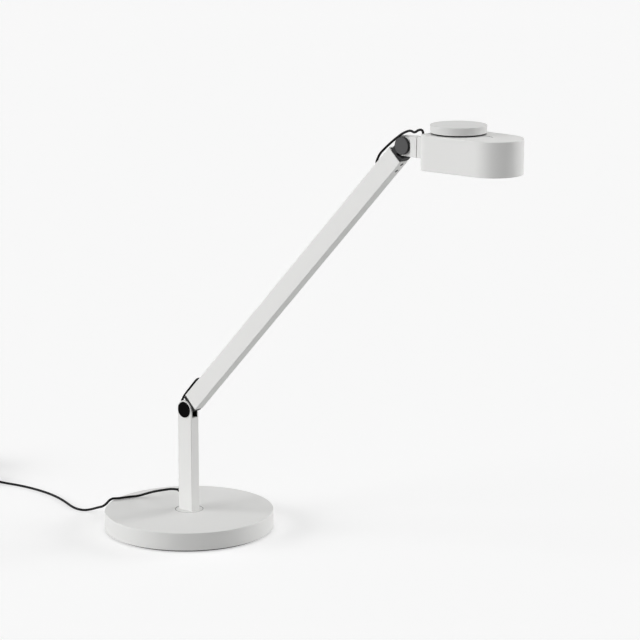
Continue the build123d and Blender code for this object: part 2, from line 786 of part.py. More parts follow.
def make_arm():
    """The arm with its two end pieces and the leads that it carries."""
    save(make_arm_tube(), "arm_tube")
    save(make_lower_insert(), "lower_insert")
    save(ring(BUSH_RADIUS, PIN_RADIUS + RUNNING_FIT, -TONGUE_HALF, TONGUE_HALF, ARM_SIDE), "lower_bush")
    lower = screws(lower_screw_places(), -BACK, SCREW_SHANK, 7.5, SCREW_HEAD, SCREW_SINK)
    save(lower, "lower_insert_screws")
    save(make_upper_fork(), "upper_fork")
    upper = screws(upper_screw_places(), BACK, SCREW_SHANK, 7.5, SCREW_HEAD, SCREW_SINK)
    save(upper, "upper_fork_screws")
    save(make_upper_pivot_screw(), "upper_pivot_screw")
    save(make_arm_grommets(), "arm_grommets")
    save(tube_along("arm_wire", arm_wire_points(), LEAD_RADIUS), "arm_wire")
    save(tube_along("lower_lead", lower_lead_points(), LEAD_RADIUS), "lower_lead")
    save(tube_along("upper_lead", upper_lead_points(), LEAD_RADIUS), "upper_lead")


# ---------------------------------------------------------------- neck

BOLT_START = 310.2
BOLT_HEAD_START = 344.3
BOLT_HEAD_END = 346.6
GRUB_X = 313.6


def make_neck_block():
    """Flat link: a round tongue between the fork's ears, thicker from there to the roll joint."""
    seam = NECK_END - UPPER_PIVOT.X
    with BuildPart() as neck_block:
        with BuildSketch(NECK_SIDE):
            Circle(NECK_RADIUS)
            with Locations((seam / 2, 0)):
                Rectangle(seam, 2 * NECK_RADIUS)
        extrude(amount=NECK_TONGUE_HALF, both=True)
        with BuildSketch(NECK_SIDE):
            with Locations(((seam + NECK_STEP) / 2, 0)):
                Rectangle(seam - NECK_STEP, 2 * NECK_RADIUS)
        extrude(amount=NECK_HALF, both=True)
        with BuildSketch(NECK_SIDE):
            Circle(BUSH_RADIUS)
        extrude(amount=TUBE_DEPTH, both=True, mode=Mode.SUBTRACT)
        with BuildSketch(Plane.YZ.offset(BOLT_START)):
            with Locations((0, NECK_HEIGHT)):
                Circle(PIN_RADIUS)
        extrude(amount=NECK_END, mode=Mode.SUBTRACT)
        with BuildSketch(Plane.XY.offset(NECK_HEIGHT - NECK_RADIUS)):
            with Locations((GRUB_X, 0)):
                Circle(1.5)
        extrude(amount=NECK_RADIUS - PIN_RADIUS, mode=Mode.SUBTRACT)
    return neck_block


def make_roll_bolt():
    """Shoulder bolt that the head turns on, fixed in the neck, with its head inside the shell."""
    axis = Plane(origin=(0, 0, NECK_HEIGHT), x_dir=(0, 1, 0), z_dir=(1, 0, 0))
    with BuildPart() as roll_bolt:
        with BuildSketch(axis.offset(BOLT_START)):
            Circle(PIN_RADIUS)
        extrude(amount=BOLT_HEAD_START - BOLT_START)
        with BuildSketch(axis.offset(BOLT_HEAD_START)):
            Circle(5.5)
        extrude(amount=BOLT_HEAD_END - BOLT_HEAD_START)
        with BuildSketch(axis.offset(BOLT_HEAD_END)):
            RegularPolygon(2.3, 6)
        extrude(amount=-1.6, mode=Mode.SUBTRACT)
    return roll_bolt


def make_roll_grub_screw():
    """Grub screw from below that locks the roll bolt in the neck."""
    low = NECK_HEIGHT - NECK_RADIUS + 0.6
    with BuildPart() as grub:
        with BuildSketch(Plane.XY.offset(low)):
            with Locations((GRUB_X, 0)):
                Circle(1.45)
        extrude(amount=NECK_HEIGHT - PIN_RADIUS - low)
        with BuildSketch(Plane.XY.offset(low)):
            with Locations((GRUB_X, 0)):
                RegularPolygon(0.8, 6)
        extrude(amount=1.5, mode=Mode.SUBTRACT)
    return grub


def make_neck():
    """The link between the arm and the head."""
    save(make_neck_block(), "neck_block")
    bush = ring(BUSH_RADIUS, PIN_RADIUS + RUNNING_FIT, -NECK_TONGUE_HALF, NECK_TONGUE_HALF, NECK_SIDE)
    save(bush, "upper_bush")
    low = NECK_TONGUE_HALF + 0.05
    washers = two_rings(7.8, PIN_RADIUS + 0.1, low, low + WASHER_THICK, NECK_SIDE)
    save(washers, "upper_friction_washers")
    save(make_roll_bolt(), "roll_bolt")
    save(make_roll_grub_screw(), "roll_grub_screw")


# ---------------------------------------------------------------- head


def head_outline(inset=0.0, rear=None):
    """The head's plan: straight flanks from two small rear corners to the round front."""
    corner = max(HEAD_CORNER_RADIUS - inset, 1.0)
    front = HEAD_FRONT_RADIUS - inset
    corner_x = HEAD_REAR + HEAD_CORNER_RADIUS
    corner_y = HEAD_HALF_WIDTH - HEAD_CORNER_RADIUS
    distance = sqrt((HEAD_FRONT_CENTRE - corner_x) ** 2 + corner_y**2)
    slope = atan(corner_y / (HEAD_FRONT_CENTRE - corner_x))
    swing = atan((HEAD_FRONT_RADIUS - HEAD_CORNER_RADIUS) / distance)
    normal = pi / 2 - slope + swing
    reach = Vector(cos(normal), sin(normal))
    flank_rear = Vector(corner_x, corner_y) + reach * corner
    flank_front = Vector(HEAD_FRONT_CENTRE, 0) + reach * front
    middle = (normal + pi) / 2
    bulge = Vector(corner_x, corner_y) + Vector(cos(middle), sin(middle)) * corner
    rear_x = HEAD_REAR + inset
    with BuildSketch() as outline:
        with BuildLine():
            Line((rear_x, 0), (rear_x, corner_y))
            ThreePointArc((rear_x, corner_y), bulge, flank_rear)
            Line(flank_rear, flank_front)
            ThreePointArc(flank_front, (HEAD_FRONT_CENTRE + front, 0), (flank_front.X, -flank_front.Y))
            Line((flank_front.X, -flank_front.Y), (flank_rear.X, -flank_rear.Y))
            ThreePointArc((flank_rear.X, -flank_rear.Y), (bulge.X, -bulge.Y), (rear_x, -corner_y))
            Line((rear_x, -corner_y), (rear_x, 0))
        make_face()
        if rear is not None:
            with Locations((rear - 100, 0)):
                Rectangle(200, 200, mode=Mode.SUBTRACT)
    return outline.sketch


BOARD_SCREWS = [(358.0, 21.0), (358.0, -21.0), (424.0, 0.0)]
COLLAR_SCREWS = [NECK_HEIGHT - 7.5, NECK_HEIGHT + 7.5]
SINK_TOP = BOARD_BOTTOM + BOARD_THICK + SINK_THICK
LEAD_ENTRY = (HEAD_REAR, -20.0, 453.2)


def make_head_shell():
    """Shell of the head, open below, with bosses for the light board under its top."""
    with BuildPart() as head_shell:
        with BuildSketch(Plane.XY.offset(HEAD_BOTTOM)):
            add(head_outline())
        extrude(amount=HEAD_TOP - HEAD_BOTTOM)
        fillet(head_shell.edges().group_by(Axis.Z)[-1], 0.8)
        fillet(head_shell.edges().group_by(Axis.Z)[0], 0.5)
        with BuildSketch(Plane.XY.offset(HEAD_BOTTOM)):
            add(head_outline(HEAD_WALL))
        extrude(amount=HEAD_TOP - HEAD_WALL - HEAD_BOTTOM, mode=Mode.SUBTRACT)
        for x, y in BOARD_SCREWS:
            with BuildSketch(Plane.XY.offset(SINK_TOP)):
                with Locations((x, y)):
                    Circle(3.0)
            extrude(amount=HEAD_TOP - HEAD_WALL - SINK_TOP)
            with BuildSketch(Plane.XY.offset(SINK_TOP)):
                with Locations((x, y)):
                    Circle(1.25)
            extrude(amount=8, mode=Mode.SUBTRACT)
        with BuildSketch(Plane.XY.offset(HEAD_TOP - 5)):
            with Locations((KNOB_X, 0)):
                Circle(4.5)
        extrude(amount=10, mode=Mode.SUBTRACT)
        with BuildSketch(Plane.YZ.offset(HEAD_REAR - 1)):
            with Locations((0, NECK_HEIGHT)):
                Circle(PIN_RADIUS + RUNNING_FIT)
            with Locations(*[(0, z) for z in COLLAR_SCREWS]):
                Circle(1.3)
            with Locations((LEAD_ENTRY[1], LEAD_ENTRY[2])):
                Circle(HOLE_RADIUS)
        extrude(amount=HEAD_WALL + 2, mode=Mode.SUBTRACT)
    return head_shell


def make_head_collar():
    """Block on the back of the head that turns against the neck."""
    with BuildPart() as head_collar:
        with BuildSketch(Plane.YZ.offset(COLLAR_START)):
            with Locations((0, NECK_HEIGHT)):
                RectangleRounded(2 * NECK_HALF, 2 * NECK_RADIUS, 0.4)
                Circle(PIN_RADIUS + RUNNING_FIT, mode=Mode.SUBTRACT)
        extrude(amount=HEAD_REAR - COLLAR_START)
        with BuildSketch(Plane.YZ.offset(HEAD_REAR)):
            with Locations(*[(0, z) for z in COLLAR_SCREWS]):
                Circle(1.05)
        extrude(amount=-8, mode=Mode.SUBTRACT)
    return head_collar


def make_heat_sink():
    """Aluminium plate over the light board, with cooling fins in the front half."""
    with BuildPart() as heat_sink:
        with BuildSketch(Plane.XY.offset(BOARD_BOTTOM + BOARD_THICK)):
            add(head_outline(HEAD_WALL + 1.0, BOARD_REAR))
            with Locations(*BOARD_SCREWS):
                Circle(1.5, mode=Mode.SUBTRACT)
        extrude(amount=SINK_THICK)
        with BuildSketch(Plane.XY.offset(SINK_TOP)):
            with GridLocations(5.0, 0, 7, 1):
                with Locations((400.0, 0)):
                    Rectangle(1.4, 40.0)
        extrude(amount=9.0)
    return heat_sink


def make_led_board():
    """Metal-core board that carries the light-emitting diodes on its underside."""
    with BuildPart() as led_board:
        with BuildSketch(Plane.XY.offset(BOARD_BOTTOM)):
            add(head_outline(HEAD_WALL + 1.2, BOARD_REAR + 0.5))
            with Locations(*BOARD_SCREWS):
                Circle(1.5, mode=Mode.SUBTRACT)
        extrude(amount=BOARD_THICK)
    return led_board


def make_leds():
    """Rows of light-emitting diodes under the board."""
    with BuildPart() as leds:
        with BuildSketch(Plane.XY.offset(BOARD_BOTTOM)):
            with Locations((391.0, 0)):
                with GridLocations(12.0, 12.0, 5, 3):
                    Rectangle(3.5, 2.8)
        extrude(amount=-0.8)
    return leds


def make_reflector():
    """White frame that keeps the light off the shell's walls and carries the diffuser."""
    with BuildPart() as reflector:
        with BuildSketch(Plane.XY.offset(HEAD_BOTTOM + 3.4)):
            add(head_outline(HEAD_WALL + 0.2, BOARD_REAR - 5))
            add(head_outline(HEAD_WALL + 1.6, BOARD_REAR - 3.6), mode=Mode.SUBTRACT)
        extrude(amount=BOARD_BOTTOM - 0.1 - HEAD_BOTTOM - 3.4)
    return reflector


def make_diffuser():
    """Opal plate that closes the head from below."""
    with BuildPart() as diffuser:
        with BuildSketch(Plane.XY.offset(HEAD_BOTTOM + 1.2)):
            add(head_outline(HEAD_WALL + 0.15))
        extrude(amount=2.0)
    return diffuser


def make_dimmer_board():
    """Small board under the top of the head that holds the dimmer's electronics."""
    with BuildPart() as board:
        with BuildSketch(Plane.XY.offset(DIMMER_BOARD_BOTTOM)):
            with Locations((KNOB_X + 1, 0)):
                Rectangle(30.0, 28.0)
        extrude(amount=1.6)
        with BuildSketch(Plane.XY.offset(DIMMER_BOARD_BOTTOM)):
            with Locations((KNOB_X - 8, 6), (KNOB_X - 8, -6), (KNOB_X + 9, 0)):
                Rectangle(6.0, 5.0)
        extrude(amount=-2.4)
    return board


def make_potentiometer():
    """Rotary dimmer body with the threaded bushing that comes up through the shell."""
    with BuildPart() as pot:
        with BuildSketch(Plane.XY.offset(POT_BOTTOM)):
            with Locations((KNOB_X, 0)):
                Circle(8.0)
        extrude(amount=POT_BUSH_BOTTOM - POT_BOTTOM)
        with BuildSketch(Plane.XY.offset(POT_BUSH_BOTTOM)):
            with Locations((KNOB_X, 0)):
                Circle(4.4)
        extrude(amount=4.9)
        with BuildSketch(Plane.XY.offset(450.9)):
            with Locations((KNOB_X, 0)):
                Circle(SPINDLE_RADIUS + RUNNING_FIT)
        extrude(amount=15.0, mode=Mode.SUBTRACT)
    return pot


def make_potentiometer_nut():
    """Thin nut that clamps the dimmer to the top of the shell, hidden by the knob."""
    with BuildPart() as nut:
        with BuildSketch(Plane.XY.offset(HEAD_TOP)):
            with Locations((KNOB_X, 0)):
                RegularPolygon(7.0, 6)
                Circle(4.4, mode=Mode.SUBTRACT)
        extrude(amount=2.0)
    return nut


def make_head_grommet():
    """Rubber sleeve in the rear wall for the upper lead."""
    axis = Plane(origin=LEAD_ENTRY, x_dir=(0, 1, 0), z_dir=(1, 0, 0))
    with BuildPart() as grommet:
        with BuildSketch(axis):
            Circle(HOLE_RADIUS - 0.05)
        extrude(amount=HEAD_WALL)
        with BuildSketch(axis.offset(HEAD_WALL)):
            Circle(2.7)
        extrude(amount=0.8)
    return grommet


def collar_screw_places():
    """The collar's screws, on the inner face of the shell's rear wall."""
    return [(HEAD_REAR + HEAD_WALL, 0, z) for z in COLLAR_SCREWS]


def make_collar_screws():
    """Two pan-head screws from inside the shell into the collar."""
    with BuildPart() as group:
        for place in collar_screw_places():
            seat = Plane(origin=place, x_dir=(0, 1, 0), z_dir=(1, 0, 0))
            with BuildSketch(seat):
                Circle(1.7)
            extrude(amount=1.2)
            with BuildSketch(seat):
                Circle(1.0)
            extrude(amount=-8.0)
    return group


def make_board_screws():
    """Three pan-head screws that hold the light board and its heat sink."""
    with BuildPart() as group:
        with BuildSketch(Plane.XY.offset(BOARD_BOTTOM)):
            with Locations(*BOARD_SCREWS):
                Circle(2.4)
        extrude(amount=-1.4)
        with BuildSketch(Plane.XY.offset(BOARD_BOTTOM)):
            with Locations(*BOARD_SCREWS):
                Circle(1.2)
        extrude(amount=11.0)
    return group


def make_head():
    """The light head with everything inside it that does not turn with the knob."""
    save(make_head_collar(), "head_collar")
    save(make_collar_screws(), "collar_screws")
    bolt_axis = Plane(origin=(0, 0, NECK_HEIGHT), x_dir=(0, 1, 0), z_dir=(1, 0, 0))
    save(ring(5.2, PIN_RADIUS + 0.1, HEAD_REAR + HEAD_WALL + 0.1, 344.2, bolt_axis), "roll_spring_washer")
    save(make_head_shell(), "head_shell")
    save(make_heat_sink(), "heat_sink")
    save(make_led_board(), "led_board")
    save(make_leds(), "leds")
    save(make_reflector(), "reflector")
    save(make_diffuser(), "diffuser")
    save(make_board_screws(), "board_screws")
    save(make_dimmer_board(), "dimmer_board")
    save(make_potentiometer(), "potentiometer")
    save(make_potentiometer_nut(), "potentiometer_nut")
    save(make_head_grommet(), "head_grommet")


# ---------------------------------------------------------------- knob


def make_dimmer_knob():
    """Wide flat dimmer disc, hollow below, with a hub on the spindle."""
    with BuildPart() as knob:
        with BuildSketch(Plane.XY.offset(KNOB_BOTTOM)):
            with Locations((KNOB_X, 0)):
                Circle(KNOB_RADIUS - 0.5)
        with BuildSketch(Plane.XY.offset(KNOB_TOP)):
            with Locations((KNOB_X, 0)):
                Circle(KNOB_RADIUS)
        loft()
        fillet(knob.edges().group_by(Axis.Z)[-1], 0.5)
        with BuildSketch(Plane.XY.offset(KNOB_BOTTOM)):
            with Locations((KNOB_X, 0)):
                Circle(KNOB_RADIUS - KNOB_RIM)
        extrude(amount=KNOB_HOLLOW, mode=Mode.SUBTRACT)
        with BuildSketch(Plane.XY.offset(HUB_BOTTOM)):
            with Locations((KNOB_X, 0)):
                Circle(HUB_RADIUS)
        extrude(amount=4.0)
        with BuildSketch(Plane.XY.offset(HUB_BOTTOM)):
            with Locations((KNOB_X, 0)):
                Circle(SPINDLE_RADIUS)
        extrude(amount=SPINDLE_TOP - HUB_BOTTOM, mode=Mode.SUBTRACT)
    return knob


def make_knob_spindle():
    """Round spindle of the dimmer, fixed in the knob's hub."""
    with BuildPart() as spindle:
        with BuildSketch(Plane.XY.offset(SPINDLE_BOTTOM)):
            with Locations((KNOB_X, 0)):
                Circle(SPINDLE_RADIUS)
        extrude(amount=SPINDLE_TOP - SPINDLE_BOTTOM)
    return spindle


# ---------------------------------------------------------------- mains cord


def cord_points():
    """The free stretch: from the relief over the base's rim, down to the table and to the coil."""
    coil_x, coil_y = COIL_CENTRE
    start_y = coil_y + coil_outer_radius()
    return [
        (RELIEF_END, 0, CORD_HEIGHT),
        (-25.5, 0.0, CORD_HEIGHT),
        (-39.0, -0.2, 35.4),
        (-52.0, -0.8, 30.6),
        (-64.0, -2.4, 27.0),
        (-73.0, -8.0, 25.8),
        (-78.8, -16.6, 25.6),
        (-82.6, -26.0, 26.2),
        (-87.4, -34.6, 25.8),
        (-97.5, -37.4, 17.2),
        (-108.5, -34.0, 8.4),
        (-120.0, -31.2, 2.6),
        (-128.5, -34.4, CORD_RADIUS),
        (-138.0, -36.8, CORD_RADIUS),
        (-150.5, -33.6, CORD_RADIUS),
        (-166.0, -27.2, CORD_RADIUS),
        (-184.0, -21.0, CORD_RADIUS),
        (-205.0, -16.6, CORD_RADIUS),
        (-229.0, -15.0, CORD_RADIUS),
        (-254.0, -16.6, CORD_RADIUS),
        (-281.0, start_y, CORD_RADIUS),
        (coil_x + 2 * CORD_RADIUS, start_y, CORD_RADIUS),
    ]


def coil_outer_radius():
    """Radius of the outermost turn's middle."""
    return COIL_MEAN_RADIUS + SPIRAL_TURNS * COIL_TURN_PITCH / 2


def coil_point(turn):
    """A point of the coil: each layer spirals in or out, then climbs in half a turn."""
    period = SPIRAL_TURNS + CLIMB_TURNS
    layer = min(int(turn / period), COIL_LAYERS - 1)
    into = turn - layer * period
    last_layer = layer == COIL_LAYERS - 1
    travel = (into if last_layer else min(into, SPIRAL_TURNS)) * COIL_TURN_PITCH
    outer = coil_outer_radius()
    inner = outer - SPIRAL_TURNS * COIL_TURN_PITCH
    radius = outer - travel if layer % 2 == 0 else inner + travel
    climb = 0.0 if last_layer else min(max(into - SPIRAL_TURNS, 0) / CLIMB_TURNS, 1.0)
    height = CORD_RADIUS + COIL_LAYER_PITCH * (layer + (1 - cos(pi * climb)) / 2)
    angle = pi / 2 + 2 * pi * turn
    return Vector(COIL_CENTRE[0] + radius * cos(angle), COIL_CENTRE[1] + radius * sin(angle), height)


def coil_tangent(turn, last):
    """The coil's direction, level and towards -X at its two ends."""
    if turn <= 0 or turn >= last:
        return Vector(-1, 0, 0)
    step = 0.002
    return (coil_point(turn + step) - coil_point(turn - step)).normalized()


def biarc(start, start_way, end, end_way):
    """Two arcs that join two points with given directions: the middle point and direction."""
    gap = end - start
    ways = start_way + end_way
    twist = 2 * (1 - start_way.dot(end_way))
    reach = (sqrt(gap.dot(ways) ** 2 + twist * gap.dot(gap)) - gap.dot(ways)) / twist
    early = start + start_way * reach
    late = end - end_way * reach
    return (early + late) * 0.5, (late - early).normalized()


def make_cord_coil():
    """The rest of the cord in one unbroken coil, with a straight stub at each end."""
    last = COIL_LAYERS * (SPIRAL_TURNS + CLIMB_TURNS)
    steps = int(last * 4)
    stub = Vector(2 * CORD_RADIUS, 0, 0)
    with BuildPart() as coil:
        with BuildLine() as route:
            Line(coil_point(0) + stub, coil_point(0))
            for step in range(steps):
                here = step / 4
                start, end = coil_point(here), coil_point(here + 0.25)
                start_way, end_way = coil_tangent(here, last), coil_tangent(here + 0.25, last)
                middle, middle_way = biarc(start, start_way, end, end_way)
                TangentArc(start, middle, tangent=start_way)
                TangentArc(middle, end, tangent=middle_way)
            Line(coil_point(last), coil_point(last) - stub)
        wire = route.wires()[0]
        with BuildSketch(Plane(origin=wire @ 0, z_dir=wire % 0)):
            Circle(CORD_RADIUS)
        sweep(path=wire)
    length = wire.length
    expected = pi * CORD_RADIUS**2 * length
    print(f"cord_coil: {length:.0f} mm long, volume {coil.part.volume:.0f} of {expected:.0f} mm3")
    print(f"cord_coil: least gap to itself {least_gap(wire, length):.2f} mm")
    return coil


def least_gap(wire, length):
    """The least distance between two turns' surfaces, measured on points of the wire."""
    count = int(length / 1.5)
    points = [wire @ (i / count) for i in range(count + 1)]
    apart = int(20 / 1.5)
    least = min(
        (points[i] - points[j]).length
        for i in range(count + 1)
        for j in range(i + apart, count + 1)
        if abs(points[i].Z - points[j].Z) < 4 and abs(points[i].X - points[j].X) < 4
    )
    return least - 2 * CORD_RADIUS


def make_cord_tail():
    """Straight end of the cord, from the coil's last turn into the adapter's sleeve."""
    end = coil_point(COIL_LAYERS * (SPIRAL_TURNS + CLIMB_TURNS))
    start_x = end.X - 2 * CORD_RADIUS
    with BuildPart() as tail:
        with BuildSketch(Plane(origin=(start_x, end.Y, end.Z), z_dir=(-1, 0, 0))):
            Circle(CORD_RADIUS)
        extrude(amount=start_x - ADAPTER_FACE - SLEEVE_LENGTH)
    return tail


def make_adapter():
    """The plug-in power adapter, lying on its side, with its cord sleeve and two round pins."""
    end = coil_point(COIL_LAYERS * (SPIRAL_TURNS + CLIMB_TURNS))
    face = Plane(origin=(ADAPTER_FACE, end.Y, ADAPTER_HEIGHT / 2), x_dir=(0, 1, 0), z_dir=(-1, 0, 0))
    with BuildPart() as body:
        with BuildSketch(face):
            RectangleRounded(ADAPTER_WIDTH, ADAPTER_HEIGHT, 4.0)
        extrude(amount=ADAPTER_LENGTH)
        fillet(body.edges().group_by(Axis.X)[0] + body.edges().group_by(Axis.X)[-1], 1.5)
    save(body, "adapter_body")
    mouth = Plane(origin=(ADAPTER_FACE, end.Y, end.Z), x_dir=(0, 1, 0), z_dir=(1, 0, 0))
    with BuildPart() as sleeve:
        with BuildSketch(mouth):
            Circle(SLEEVE_RADIUS)
        with BuildSketch(mouth.offset(SLEEVE_LENGTH)):
            Circle(SLEEVE_TIP_RADIUS)
        loft()
    save(sleeve, "adapter_relief")
    pin_face = Plane(
        origin=(ADAPTER_FACE - ADAPTER_LENGTH, end.Y, ADAPTER_HEIGHT / 2), x_dir=(0, 1, 0), z_dir=(-1, 0, 0)
    )
    with BuildPart() as pins:
        with BuildSketch(pin_face):
            with Locations((-PIN_PITCH / 2, 0), (PIN_PITCH / 2, 0)):
                Circle(2.0)
        extrude(amount=PIN_LENGTH)
        fillet(pins.edges().group_by(Axis.X)[0], 1.2)
    save(pins, "adapter_pins")


def make_cord():
    """The mains side: free stretch, coil, tail and adapter."""
    save(tube_along("cord_tube", cord_points(), CORD_RADIUS), "cord_tube")
    save(make_cord_coil(), "cord_coil")
    save(make_cord_tail(), "cord_tail")
    make_adapter()


os.makedirs("parts", exist_ok=True)
make_base()
make_post()
make_arm()
make_neck()
make_head()
save(make_dimmer_knob(), "dimmer_knob")
save(make_knob_spindle(), "knob_spindle")
make_cord()
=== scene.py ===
import logging
import math
from dataclasses import dataclass, field
from enum import Enum
from typing import Callable, Iterable, Sequence

import bmesh
import bpy
from mathutils import Matrix, Vector


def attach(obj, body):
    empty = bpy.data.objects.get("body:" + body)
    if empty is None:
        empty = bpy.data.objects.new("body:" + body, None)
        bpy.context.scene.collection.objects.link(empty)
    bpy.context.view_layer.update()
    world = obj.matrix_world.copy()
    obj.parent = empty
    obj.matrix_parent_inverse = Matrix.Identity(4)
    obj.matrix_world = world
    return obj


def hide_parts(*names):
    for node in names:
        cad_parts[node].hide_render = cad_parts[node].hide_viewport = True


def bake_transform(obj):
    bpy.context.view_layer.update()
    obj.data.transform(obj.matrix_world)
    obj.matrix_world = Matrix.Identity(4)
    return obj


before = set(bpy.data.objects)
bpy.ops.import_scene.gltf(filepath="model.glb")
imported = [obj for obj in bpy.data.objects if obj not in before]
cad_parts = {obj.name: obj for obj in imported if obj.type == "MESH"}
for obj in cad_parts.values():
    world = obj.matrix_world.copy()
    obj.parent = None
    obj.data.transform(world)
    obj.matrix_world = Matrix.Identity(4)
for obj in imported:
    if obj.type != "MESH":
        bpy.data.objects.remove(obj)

log = logging.getLogger("desk_lamp")

Point = tuple[float, float, float]
Colour = tuple[float, float, float]
Piece = bpy.types.Object
Tree = bpy.types.NodeTree
Node = bpy.types.Node
Socket = bpy.types.NodeSocket

SAME_VERTEX = 1e-7
SHORTEST_STEP = 1e-6
LEAST_SIDE = 1e-4
CORD_BORE = 0.00131
SPLINE_STEPS = 10
SPLINE_ORDER = 3

ARM_LEAN = math.radians(44.0)
ALONG = Vector((math.sin(ARM_LEAN), 0.0, math.cos(ARM_LEAN)))
BACK = Vector((-math.cos(ARM_LEAN), 0.0, math.sin(ARM_LEAN)))
LOWER_PIVOT = Vector((0.0, 0.0, 0.131))
ARM_LENGTH = 0.432
UPPER_PIVOT = LOWER_PIVOT + ALONG * ARM_LENGTH


def on_arm(along: float, back: float, side: float = 0.0) -> Point:
    """A point of the arm.

    Args:
        along: metres up the arm from the lower pivot.
        back: metres from the arm's middle towards its back face.
        side: metres towards +Y.

    Returns:
        The point in the lamp's frame.
    """
    return tuple(LOWER_PIVOT + ALONG * along + BACK * back + Vector((0.0, side, 0.0)))


class Grain(Enum):
    """How the fine relief of a finish is laid out."""

    ORANGE_PEEL = "orange peel"
    SPARK = "spark eroded"
    BRUSHED = "brushed"
    CAST = "sand cast"


BRUSH_STRETCH = (1.0, 1.0, 22.0)
DRIFT_SCALE = 14.0
SMUDGE_SCALE = 55.0
NOISE_BAND = (0.3, 0.7)
WORN_BAND = (0.52, 0.60)
HOLLOW_SHARE = 3.0
RUBBED_GAIN = 1.6
RUBBED_LIFT = 0.05
LEAST_ROUGHNESS = 0.03
COAT_ROUGHNESS = 0.12
BUMP_STRENGTH = 0.6
DRIFT_DETAIL = 3.0
SMUDGE_DETAIL = 4.0
FINE_NOISE = (2.0, 0.45)
CAST_NOISE = (5.0, 0.62)


def fill(node: Node, values: dict[str, object]) -> None:
    """Set inputs of a node.

    Args:
        node: the node.
        values: what its inputs are set to, by their names.
    """
    for name, value in values.items():
        node.inputs[name].default_value = value


